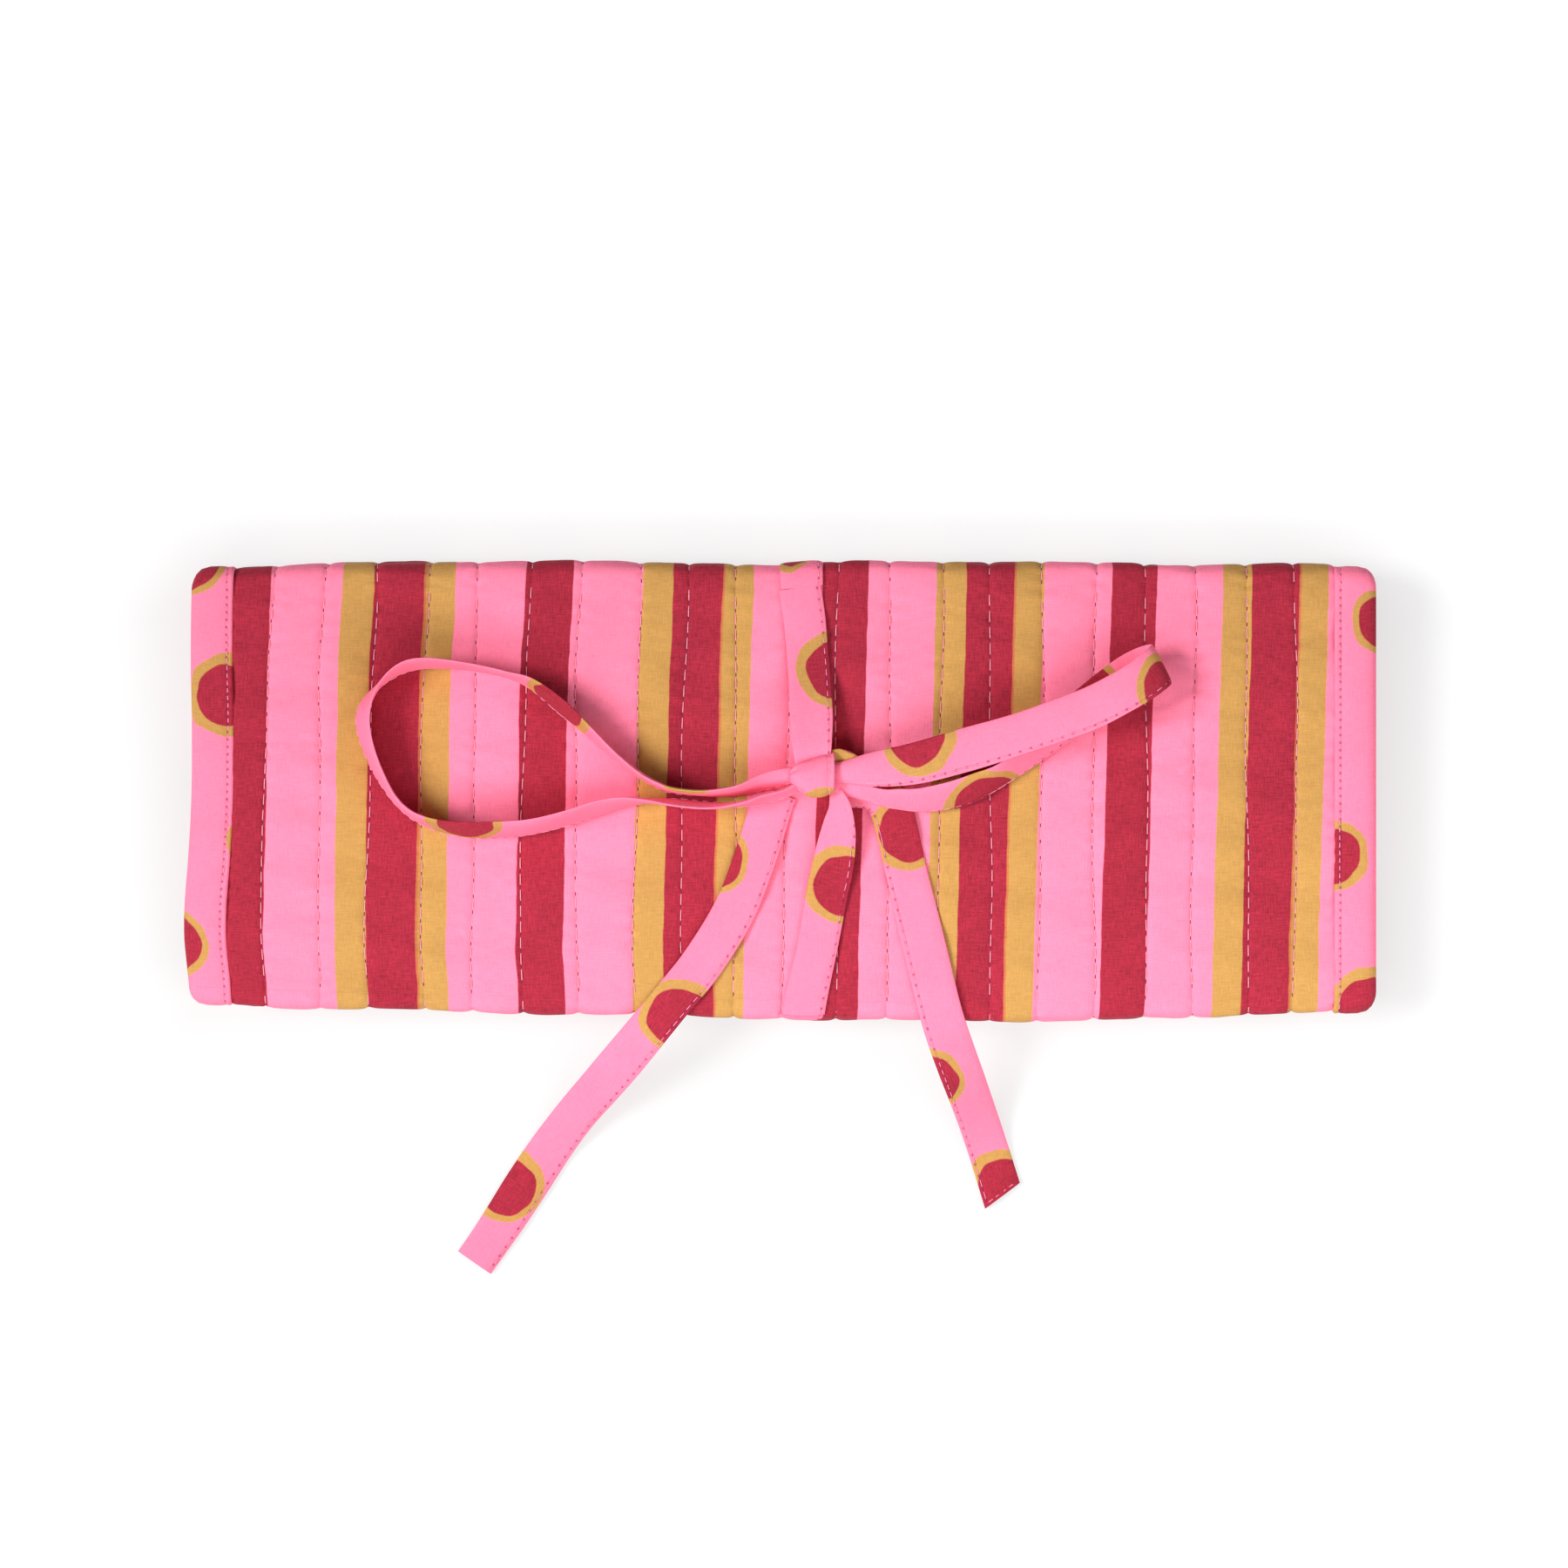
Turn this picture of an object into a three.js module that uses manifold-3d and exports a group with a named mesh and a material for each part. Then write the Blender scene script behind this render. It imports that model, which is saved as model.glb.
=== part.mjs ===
// A quilted jewelry roll, folded in three and tied shut with a bow. Millimetres, +Z up.
// The long side lies along X, the back fold faces +Y and the front fold faces -Y.
import * as THREE from 'three';
import { mergeVertices } from 'three/addons/utils/BufferGeometryUtils.js';
import Module from 'manifold-3d';

const wasm = await Module();
wasm.setup();

// The closed roll
const ROLL_LENGTH = 270;
const ROLL_DEPTH = 102;
const ROLL_HEIGHT = 20;
const SLIT = 0.3; // clearance between pieces that lie against each other
const BASE_SETBACK = 1; // the base's free edge lies this far behind the front fold
const FLAP_DEPTH = 40;
const FOLD_EASE = 0.4; // inside radius of the back fold's corners
const FOLD_LAND = 1; // flat stretch between a hinge line and the back fold's corner
const ARC_STEPS = 4; // facets in a quarter turn

// The quilted wall, from the outside in
const PRINT_THICK = 1.1;
const WADDING_THICK = 1.4;
const LINING_THICK = 0.5;
const QUILT_PITCH = 11.63;
const QUILT_MARGIN = 2; // least width of the last channel
const STITCH_DEPTH = 0.65; // how far a quilting line draws the print in

// The binding round the free ends
const BINDING_WIDTH = 9.5;
const BINDING_END = 1.2; // thickness round the raw edge

// The zips and their pockets, measured up from the lining
const TAPE_END = 23; // bare lining from the roll's end to the tape's
const TAPE_LENGTH = ROLL_LENGTH - 2 * TAPE_END;
const TAPE_WIDTH = 8;
const TAPE_THICK = 0.5;
const TAPE_GAP = 0.6;
const COIL_END = 12; // bare tape beyond the coil
const COIL_LENGTH = TAPE_LENGTH - 2 * COIL_END;
const COIL_WIDTH = 3.2;
const COIL_HEIGHT = 1.3;
const STOP_LENGTH = 3;
const STOP_WIDTH = 4.4;
const SLIDER_LENGTH = 9;
const SLIDER_WIDTH = 7;
const SLIDER_ROOF = 0.9;
const SLIDER_PARK = 2; // gap between the parked slider and its end stop
const BAIL_WIDTH = 2.2;
const BAIL_POST = 1.2;
const BAIL_WINDOW = 3.6;
const BAIL_CLEAR = 1.5; // height inside the bail
const BAIL_BAR = 0.7;
const PULL_THICK = 0.9;
const PULL_LENGTH = 16;
const PULL_ROOT_WIDTH = 4.6;
const PULL_TIP_WIDTH = 6;
const POCKET_THICK = 0.7;
const POCKET_INSET = 2.6; // bare tape between the coil and the pocket's edge
const BASE_ZIP_INSET = 29; // from the back fold to the base's zip
const FACE_ZIP_INSET = 18; // from the back fold to the face's zip
const POCKET_FLAP_GAP = 2.25; // from the flap's free edge to the face's pocket

// The ring bar on the base pocket
const BAR_DIAMETER = 8.5;
const BAR_LENGTH = 120;
const BAR_START_X = -70;
const BAR_ZIP_GAP = 14; // from the base's zip to the bar's centre line
const ANCHOR_LENGTH = 14;
const ANCHOR_WIDTH = 10;
const ANCHOR_THICK = 1;
const TAB_LENGTH = 16;
const TAB_WIDTH = 11;
const TAB_THICK = 0.8;
const SNAP_DIAMETER = 9;
const SNAP_THICK = 0.8;

// The tie
const TIE_WIDTH = 10;
const TIE_THICK = 1.2;
const TIE_BACK_X = 3.6;
const TIE_FRONT_X = 4.6;
const TIE_FOOT = 2.5; // where the back run starts above the table
const TIE_PART = 1.6; // room that the strap leaves at the back hinge line
const TIE_STEPS = 2; // facets between two route points
const KNOT_CENTER = [6.7, 3.0];
const KNOT_SIZE = [10.4, 10, 6.8];
const KNOT_LIFT = 5.4; // knot centre above the face

const COLORS = {
  print: 0xfe95be,
  wadding: 0xf4efe6,
  lining: 0xfe93bd,
  binding: 0xfe94bf,
  tie: 0xfe96bf,
  tape: 0xb8354a,
  brass: 0xc9a24f,
};

const WALL = PRINT_THICK + WADDING_THICK + LINING_THICK + 2 * SLIT;
const HALF_LENGTH = ROLL_LENGTH / 2;
const PRINT_HALF = HALF_LENGTH - BINDING_WIDTH - SLIT;
const BACK = ROLL_DEPTH / 2;
const FRONT = -ROLL_DEPTH / 2;
const CORNER_RADIUS = WALL + FOLD_EASE;
const BACK_HINGE = BACK - CORNER_RADIUS - FOLD_LAND;
const FLAP_RADIUS = WALL + SLIT / 2;
const FRONT_HINGE = FRONT + FLAP_RADIUS;
const FLAP_AXIS_Z = ROLL_HEIGHT - FLAP_RADIUS;
const FLAP_BOTTOM = ROLL_HEIGHT - 2 * FLAP_RADIUS;
const BASE_FRONT = FRONT + BASE_SETBACK;
const FLAP_EDGE = FRONT_HINGE + FLAP_DEPTH;
const BASE_ZIP_Y = BACK - BASE_ZIP_INSET;
const FACE_ZIP_Y = BACK - FACE_ZIP_INSET;
const FACE_POCKET_FRONT = FLAP_EDGE + POCKET_FLAP_GAP;
const BAR_Y = BASE_ZIP_Y - BAR_ZIP_GAP;
const COIL_BOTTOM = 2 * SLIT + TAPE_THICK;
const SLIDER_BOTTOM = COIL_BOTTOM;
const ROOF_TOP = COIL_BOTTOM + COIL_HEIGHT + SLIT + SLIDER_ROOF;
const POCKET_BOTTOM = 2 * SLIT + TAPE_THICK;
const POCKET_TOP = POCKET_BOTTOM + POCKET_THICK;
const SLIDER_X = COIL_LENGTH / 2 - SLIDER_LENGTH / 2 - SLIDER_PARK;

const roll = new THREE.Group();

/** A material of the roll: cloth unless it is given as metal. */
function finish(name, metal = false) {
  return new THREE.MeshStandardMaterial({
    color: COLORS[name],
    roughness: metal ? 0.35 : 0.9,
    metalness: metal ? 1 : 0,
  });
}

/** Adds one named piece to a group. */
function addPiece(group, name, geometry, material) {
  const mesh = new THREE.Mesh(geometry, material);
  mesh.name = name;
  group.add(mesh);
  return mesh;
}

/** Six times the signed volume of an indexed triangle list. */
function signedVolume(points, faces) {
  const cross = new THREE.Vector3();
  return faces.reduce(
    (sum, [a, b, c]) => sum + points[a].dot(cross.crossVectors(points[b], points[c])),
    0,
  );
}

/** A closed solid through rings of points that all follow the same flat outline. */
function loft(rings, outline) {
  if (THREE.ShapeUtils.isClockWise(outline)) {
    return loft(rings.map((ring) => ring.toReversed()), outline.toReversed());
  }
  const count = outline.length;
  const last = (rings.length - 1) * count;
  const faces = [];
  for (let ring = 0; ring < rings.length - 1; ring += 1) {
    for (let side = 0; side < count; side += 1) {
      const next = (side + 1) % count;
      const [a, b] = [ring * count + side, ring * count + next];
      faces.push([a, b, b + count], [a, b + count, a + count]);
    }
  }
  for (const [a, b, c] of THREE.ShapeUtils.triangulateShape(outline, [])) {
    faces.push([c, b, a], [last + a, last + b, last + c]);
  }
  const points = rings.flat();
  if (signedVolume(points, faces) < 0) {
    faces.forEach((face) => face.reverse());
  }
  const geometry = new THREE.BufferGeometry().setFromPoints(points);
  geometry.setIndex(faces.flat());
  return geometry;
}

/** Sweeps an outline of (x, depth out of the wall) along stations of a fold. */
function sweep(outline, stations) {
  const rings = stations.map(({ y, z, ny, nz }) => outline.map(
    (point) => new THREE.Vector3(point.x, y + ny * point.y, z + nz * point.y),
  ));
  return loft(rings, outline);
}

/** A rectangle outline, turning the way that triangulation expects. */
function rectangle(x0, x1, y0, y1) {
  return [[x0, y0], [x1, y0], [x1, y1], [x0, y1]].map(([x, y]) => new THREE.Vector2(x, y));
}

/** A box from its two corners. */
function block([x0, x1], [y0, y1], [z0, z1]) {
  const box = new THREE.BoxGeometry(x1 - x0, y1 - y0, z1 - z0);
  return box.translate((x0 + x1) / 2, (y0 + y1) / 2, (z0 + z1) / 2);
}

/** Turns a closed geometry into a solid that can be joined and cut. */
function toSolid(geometry) {
  const bare = geometry.clone();
  bare.deleteAttribute('normal');
  bare.deleteAttribute('uv');
  const merged = mergeVertices(bare);
  return new wasm.Manifold(new wasm.Mesh({
    numProp: 3,
    vertProperties: new Float32Array(merged.attributes.position.array),
    triVerts: new Uint32Array(merged.index.array),
  }));
}

/** Turns a joined or cut solid back into a geometry. */
function fromSolid(solid) {
  const mesh = solid.getMesh();
  const geometry = new THREE.BufferGeometry();
  geometry.setAttribute('position', new THREE.BufferAttribute(mesh.vertProperties, 3));
  geometry.setIndex(new THREE.BufferAttribute(mesh.triVerts, 1));
  return geometry;
}

/** Stations along a straight stretch of the wall, a slit clear of both ends. */
function straight(from, to, z, nz) {
  const inset = Math.sign(to - from) * (SLIT / 2);
  return [from + inset, to - inset].map((y) => ({ y, z, ny: 0, nz }));
}

/** Stations round an arc of the wall, from one angle to another about its centre. */
function arc(centerY, centerZ, radius, start, end, steps) {
  return Array.from({ length: steps + 1 }, (_, index) => {
    const angle = start + ((end - start) * index) / steps;
    const [ny, nz] = [Math.cos(angle), Math.sin(angle)];
    return { y: centerY + radius * ny, z: centerZ + radius * nz, ny, nz };
  });
}

/** The stations of each stretch of the wall, on its outside. */
const QUARTER = Math.PI / 2;
const CORNER_Y = BACK - CORNER_RADIUS;
const STRETCHES = {
  base: straight(BASE_FRONT, BACK_HINGE, 0, -1),
  spine: [
    { y: BACK_HINGE + SLIT / 2, z: 0, ny: 0, nz: -1 },
    ...arc(CORNER_Y, CORNER_RADIUS, CORNER_RADIUS, -QUARTER, 0, ARC_STEPS),
    ...arc(CORNER_Y, ROLL_HEIGHT - CORNER_RADIUS, CORNER_RADIUS, 0, QUARTER, ARC_STEPS),
    { y: BACK_HINGE + SLIT / 2, z: ROLL_HEIGHT, ny: 0, nz: 1 },
  ],
  face: straight(BACK_HINGE, FRONT_HINGE, ROLL_HEIGHT, 1),
  front_fold: arc(FRONT_HINGE, FLAP_AXIS_Z, FLAP_RADIUS, QUARTER, 3 * QUARTER, 2 * ARC_STEPS),
  flap: straight(FRONT_HINGE, FLAP_EDGE, FLAP_BOTTOM, -1),
};

/** The X of each quilting line: a centred row that fits between the bindings. */
function quiltLines() {
  const each = Math.floor((PRINT_HALF - QUILT_MARGIN) / QUILT_PITCH);
  return Array.from({ length: 2 * each + 1 }, (_, index) => (index - each) * QUILT_PITCH);
}

/** The print's outline: channels that crown between quilting lines, flat underneath. */
function quiltedOutline() {
  const edges = [-PRINT_HALF, ...quiltLines(), PRINT_HALF];
  const puff = [[0, 1], [0.2, 0.3], [0.5, 0], [0.8, 0.3]];
  const top = edges.slice(0, -1).flatMap((start, index) => puff.map(([share, depth]) => (
    new THREE.Vector2(start + share * (edges[index + 1] - start), -STITCH_DEPTH * depth)
  )));
  return [
    new THREE.Vector2(-PRINT_HALF, -PRINT_THICK),
    new THREE.Vector2(PRINT_HALF, -PRINT_THICK),
    new THREE.Vector2(PRINT_HALF, -STITCH_DEPTH),
    ...top.reverse(),
  ];
}

/** The binding's outline: a channel over one end of the wall, given as -1 or 1. */
function bindingOutline(end) {
  const [inner, floor, outer] = [HALF_LENGTH - BINDING_WIDTH, HALF_LENGTH - BINDING_END, HALF_LENGTH];
  const channel = [
    [inner, 0], [inner, -PRINT_THICK], [floor, -PRINT_THICK], [floor, LINING_THICK - WALL],
    [inner, LINING_THICK - WALL], [inner, -WALL], [outer, -WALL], [outer, 0],
  ];
  return channel.map(([x, depth]) => new THREE.Vector2(end * x, depth));
}

/** Cuts a straight stretch back from its first or last station. */
function shorten([first, last], atFirst, atLast) {
  const step = Math.sign(last.y - first.y);
  return [{ ...first, y: first.y + step * atFirst }, { ...last, y: last.y - step * atLast }];
}

/** One stretch of the quilted wall: print, wadding, lining and its two end bindings. */
function addStretch(name, { quilted = true, freeFirst = false, freeLast = false } = {}) {
  const stations = STRETCHES[name];
  const cover = BINDING_WIDTH + SLIT;
  const free = freeFirst || freeLast;
  const cut = (amount) => (
    free ? shorten(stations, freeFirst ? amount : 0, freeLast ? amount : 0) : stations
  );
  const wadTop = -PRINT_THICK - SLIT;
  const wadHalf = HALF_LENGTH - BINDING_END - SLIT;
  const print = quilted ? quiltedOutline() : rectangle(-PRINT_HALF, PRINT_HALF, -PRINT_THICK, 0);
  const wadding = rectangle(-wadHalf, wadHalf, wadTop - WADDING_THICK, wadTop);
  const lining = rectangle(-PRINT_HALF, PRINT_HALF, -WALL, LINING_THICK - WALL);
  addPiece(roll, `${name}_print`, sweep(print, cut(cover)), finish('print'));
  addPiece(roll, `${name}_wadding`, sweep(wadding, cut(BINDING_END + SLIT)), finish('wadding'));
  addPiece(roll, `${name}_lining`, sweep(lining, cut(cover)), finish('lining'));
  addPiece(roll, `${name}_binding_left`, sweep(bindingOutline(-1), stations), finish('binding'));
  addPiece(roll, `${name}_binding_right`, sweep(bindingOutline(1), stations), finish('binding'));
}

/** The binding along a free edge: outline of (y, z) drawn along X between the end bindings. */
function addEdgeBinding(name, edge, inward, bottom, outsideBelow) {
  const skin = outsideBelow ? PRINT_THICK : LINING_THICK;
  const roof = outsideBelow ? LINING_THICK : PRINT_THICK;
  const [inner, floor] = [edge + inward * BINDING_WIDTH, edge + inward * BINDING_END];
  const channel = [
    [edge, 0], [inner, 0], [inner, skin], [floor, skin],
    [floor, WALL - roof], [inner, WALL - roof], [inner, WALL], [edge, WALL],
  ].map(([y, z]) => new THREE.Vector2(y, bottom + z));
  const rings = [-PRINT_HALF, PRINT_HALF].map(
    (x) => channel.map((point) => new THREE.Vector3(x, point.x, point.y)),
  );
  addPiece(roll, name, loft(rings, channel), finish('binding'));
}

/** The slider: a saddle over the coil with a bail on its roof. */
function sliderGeometry() {
  const half = SLIDER_WIDTH / 2;
  const tunnel = COIL_WIDTH / 2 + SLIT;
  const coilTop = COIL_BOTTOM + COIL_HEIGHT + SLIT;
  const bailHalf = BAIL_WINDOW / 2 + BAIL_POST;
  const bailTop = ROOF_TOP + BAIL_CLEAR + BAIL_BAR;
  const long = [-SLIDER_LENGTH / 2, SLIDER_LENGTH / 2];
  const across = [-BAIL_WIDTH / 2, BAIL_WIDTH / 2];
  const body = toSolid(block(long, [-half, half], [SLIDER_BOTTOM, ROOF_TOP]));
  const bail = toSolid(block([-bailHalf, bailHalf], across, [ROOF_TOP - SLIDER_ROOF / 2, bailTop]));
  const groove = toSolid(block(
    [-SLIDER_LENGTH, SLIDER_LENGTH], [-tunnel, tunnel], [SLIDER_BOTTOM - COIL_HEIGHT, coilTop],
  ));
  const window = toSolid(block(
    [-BAIL_WINDOW / 2, BAIL_WINDOW / 2],
    [-BAIL_WIDTH, BAIL_WIDTH],
    [ROOF_TOP, ROOF_TOP + BAIL_CLEAR],
  ));
  return fromSolid(body.add(bail).subtract(groove).subtract(window));
}

/** The pull: a tapered tab whose crossbar lies in the bail. */
function pullGeometry() {
  const bar = PULL_THICK / 2;
  const eyeEnd = Math.hypot(BAIL_WINDOW / 2 + BAIL_POST, BAIL_CLEAR / 2 + BAIL_BAR) + SLIT;
  const eyeHalf = BAIL_WIDTH / 2 + SLIT;
  const shape = new THREE.Shape([
    new THREE.Vector2(-bar, -PULL_ROOT_WIDTH / 2),
    new THREE.Vector2(PULL_LENGTH, -PULL_TIP_WIDTH / 2),
    new THREE.Vector2(PULL_LENGTH, PULL_TIP_WIDTH / 2),
    new THREE.Vector2(-bar, PULL_ROOT_WIDTH / 2),
  ]);
  shape.holes.push(new THREE.Path(rectangle(bar, eyeEnd, -eyeHalf, eyeHalf)));
  const geometry = new THREE.ExtrudeGeometry(shape, { depth: PULL_THICK, bevelEnabled: false });
  return geometry.translate(0, 0, ROOF_TOP + BAIL_CLEAR / 2 - bar);
}

/** One zip with its pocket, built on a lining that lies at z = 0 of its group. */
function addZip(prefix, group, pocketNear, pocketFar) {
  const tapeSide = TAPE_GAP / 2;
  const tapeZ = [SLIT, SLIT + TAPE_THICK];
  const along = [-TAPE_LENGTH / 2, TAPE_LENGTH / 2];
  const coilZ = [COIL_BOTTOM, COIL_BOTTOM + COIL_HEIGHT];
  const coilHalf = COIL_LENGTH / 2;
  const near = [-tapeSide - TAPE_WIDTH, -tapeSide];
  const far = [tapeSide, tapeSide + TAPE_WIDTH];
  addPiece(group, `${prefix}_tape_near`, block(along, near, tapeZ), finish('tape'));
  addPiece(group, `${prefix}_tape_far`, block(along, far, tapeZ), finish('tape'));
  const coil = block([-coilHalf, coilHalf], [-COIL_WIDTH / 2, COIL_WIDTH / 2], coilZ);
  addPiece(group, `${prefix}_coil`, coil, finish('tape'));
  for (const [side, end] of [['left', -1], ['right', 1]]) {
    const reach = [coilHalf + SLIT, coilHalf + SLIT + STOP_LENGTH].map((x) => end * x);
    const stop = block(reach.sort((a, b) => a - b), [-STOP_WIDTH / 2, STOP_WIDTH / 2], coilZ);
    addPiece(group, `${prefix}_stop_${side}`, stop, finish('brass', true));
  }
  const slider = sliderGeometry().translate(SLIDER_X, 0, 0);
  addPiece(group, `${prefix}_slider`, slider, finish('brass', true));
  addPiece(group, `${prefix}_pull`, pullGeometry().translate(SLIDER_X, 0, 0), finish('brass', true));
  const pocket = block(
    [-PRINT_HALF + SLIT, PRINT_HALF - SLIT],
    [pocketNear, pocketFar].sort((a, b) => a - b),
    [POCKET_BOTTOM, POCKET_TOP],
  );
  addPiece(group, `${prefix.replace('zip', 'pocket')}_panel`, pocket, finish('lining'));
}

/** The zip pocket on the base, zip towards the back. */
function addBasePocket() {
  const group = new THREE.Group();
  group.position.set(0, BASE_ZIP_Y, WALL);
  const front = BASE_FRONT + BINDING_WIDTH + SLIT - BASE_ZIP_Y;
  addZip('base_zip', group, front, -COIL_WIDTH / 2 - POCKET_INSET);
  roll.add(group);
}

/** The zip pocket under the face, upside down, zip towards the back. */
function addFacePocket() {
  const group = new THREE.Group();
  group.position.set(0, FACE_ZIP_Y, ROLL_HEIGHT - WALL);
  group.rotation.x = Math.PI;
  addZip('face_zip', group, COIL_WIDTH / 2 + POCKET_INSET, FACE_ZIP_Y - FACE_POCKET_FRONT);
  roll.add(group);
}

/** The ring bar with its sewn anchor, and the snap tab at its free end. */
function addRingBar() {
  const group = new THREE.Group();
  group.position.set(BAR_START_X, BAR_Y, WALL + POCKET_TOP + SLIT);
  const bar = new THREE.CylinderGeometry(BAR_DIAMETER / 2, BAR_DIAMETER / 2, BAR_LENGTH, 20);
  bar.rotateZ(Math.PI / 2).translate(BAR_LENGTH / 2, 0, BAR_DIAMETER / 2);
  addPiece(group, 'ring_bar', bar, finish('lining'));
  const anchor = block(
    [-SLIT - ANCHOR_LENGTH, -SLIT], [-ANCHOR_WIDTH / 2, ANCHOR_WIDTH / 2], [0, ANCHOR_THICK],
  );
  addPiece(group, 'ring_bar_anchor', anchor, finish('binding'));
  const tabBottom = 2 * (SNAP_THICK + SLIT);
  const tabStart = BAR_LENGTH + SLIT;
  const tab = block(
    [tabStart, tabStart + TAB_LENGTH],
    [-TAB_WIDTH / 2, TAB_WIDTH / 2],
    [tabBottom, tabBottom + TAB_THICK],
  );
  addPiece(group, 'ring_bar_tab', tab, finish('binding'));
  const snapX = tabStart + TAB_LENGTH / 2;
  for (const [name, level] of [['stud', 0], ['socket', 1]]) {
    const disc = new THREE.CylinderGeometry(SNAP_DIAMETER / 2, SNAP_DIAMETER / 2, SNAP_THICK, 20);
    const lift = level * (SNAP_THICK + SLIT) + SNAP_THICK / 2;
    disc.rotateX(Math.PI / 2).translate(snapX, 0, lift);
    addPiece(group, `snap_${name}`, disc, finish('brass', true));
  }
  roll.add(group);
}

/** A point between two route points, with the route's own bend (Catmull-Rom). */
function between(route, index, share) {
  const pick = (at) => route[Math.min(Math.max(at, 0), route.length - 1)];
  const [a, b, c, d] = [-1, 0, 1, 2].map((offset) => pick(index + offset));
  return b.map((_, axis) => {
    const slope = c[axis] - a[axis];
    const curve = 2 * a[axis] - 5 * b[axis] + 4 * c[axis] - d[axis];
    const twist = 3 * b[axis] - a[axis] - 3 * c[axis] + d[axis];
    return b[axis] + 0.5 * share * (slope + share * (curve + share * twist));
  });
}

/** A strap along a route of [x, y, z, and a vector across the strap as a share of its width]. */
function strap(route) {
  const path = route.slice(0, -1).flatMap((_, index) => (
    Array.from({ length: TIE_STEPS }, (__, step) => between(route, index, step / TIE_STEPS))
  ));
  path.push(route[route.length - 1]);
  const centers = path.map(([x, y, z]) => new THREE.Vector3(x, y, z));
  const rings = path.map((entry, index) => {
    const before = centers[Math.max(index - 1, 0)];
    const after = centers[Math.min(index + 1, centers.length - 1)];
    const ahead = after.clone().sub(before).normalize();
    const across = new THREE.Vector3(...entry.slice(3));
    const share = across.length();
    across.addScaledVector(ahead, -across.dot(ahead)).setLength((share * TIE_WIDTH) / 2);
    const up = ahead.clone().cross(across).setLength(TIE_THICK / 2);
    return [[-1, -1], [1, -1], [1, 1], [-1, 1]].map(([side, face]) => (
      centers[index].clone().addScaledVector(across, side).addScaledVector(up, face)
    ));
  });
  return loft(rings, rectangle(-1, 1, -1, 1));
}

const LIE = SLIT + TIE_THICK / 2; // centre of a strap that lies on something
const TOP = ROLL_HEIGHT;
const FLAT = [1, 0, 0];

/** The tie where it holds the roll: up the back, over the face to the knot, and down the front. */
function addTieStraps() {
  const back = BACK + LIE;
  const front = FRONT - LIE;
  const bend = CORNER_RADIUS + LIE;
  const cornerZ = TOP - CORNER_RADIUS;
  const round = [0.35, 0.7, 1.05, 1.4].map((angle) => [
    TIE_BACK_X, CORNER_Y + bend * Math.cos(angle), cornerZ + bend * Math.sin(angle), ...FLAT,
  ]);
  const backRun = [[TIE_BACK_X, back, TIE_FOOT, ...FLAT], [TIE_BACK_X, back, cornerZ, ...FLAT], ...round];
  addPiece(roll, 'tie_back_run', strap(backRun), finish('tie'));
  const backStrap = [
    [3.9, BACK_HINGE - TIE_PART, TOP + LIE, ...FLAT],
    [4.8, 39, TOP + LIE, ...FLAT],
    [5.3, 34, TOP + LIE, ...FLAT],
    [5.6, 30, TOP + 1.4, ...FLAT],
    [5.9, 26.5, TOP + 2.2, ...FLAT],
    [6.2, 21, TOP + 3.7, ...FLAT],
    [6.4, 17, TOP + 4.6, ...FLAT],
    [6.5, 12, TOP + 5.4, 0.95, 0, 0],
    [6.6, 8.6, TOP + 5.6, 0.9, 0, 0],
  ];
  addPiece(roll, 'tie_back_strap', strap(backStrap), finish('tie'));
  const frontStrap = [
    [11.6, -3.2, TOP + 3.8, 0.32, 0, 0.25],
    [13.2, -5.6, TOP + 3.2, 0.7, 0, 0.24],
    [13.0, -8, TOP + 2.8, 0.84, 0, 0.2],
    [12.0, -13.5, TOP + 2.1, 0.95, 0, 0.12],
    [11.1, -18.5, TOP + 1.4, 1, 0, 0.04],
    [10.1, -23, TOP + 1.0, ...FLAT],
    [9.0, -29, TOP + LIE, ...FLAT],
    [7.6, -36.6, TOP + LIE, ...FLAT],
    [5.7, FRONT + 6, TOP + LIE, ...FLAT],
    [TIE_FRONT_X, FRONT + 1, TOP + LIE, ...FLAT],
  ];
  addPiece(roll, 'tie_front_strap', strap(frontStrap), finish('tie'));
  const sewn = BASE_FRONT - LIE;
  const frontRun = [
    [TIE_FRONT_X, sewn, 0.8, ...FLAT],
    [TIE_FRONT_X, sewn, WALL - 0.6, ...FLAT],
    [TIE_FRONT_X, front, WALL + 4, ...FLAT],
    [TIE_FRONT_X, front, FLAP_AXIS_Z, ...FLAT],
    [TIE_FRONT_X, front, TOP - 1.5, ...FLAT],
  ];
  addPiece(roll, 'tie_front_run', strap(frontRun), finish('tie'));
}

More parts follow.
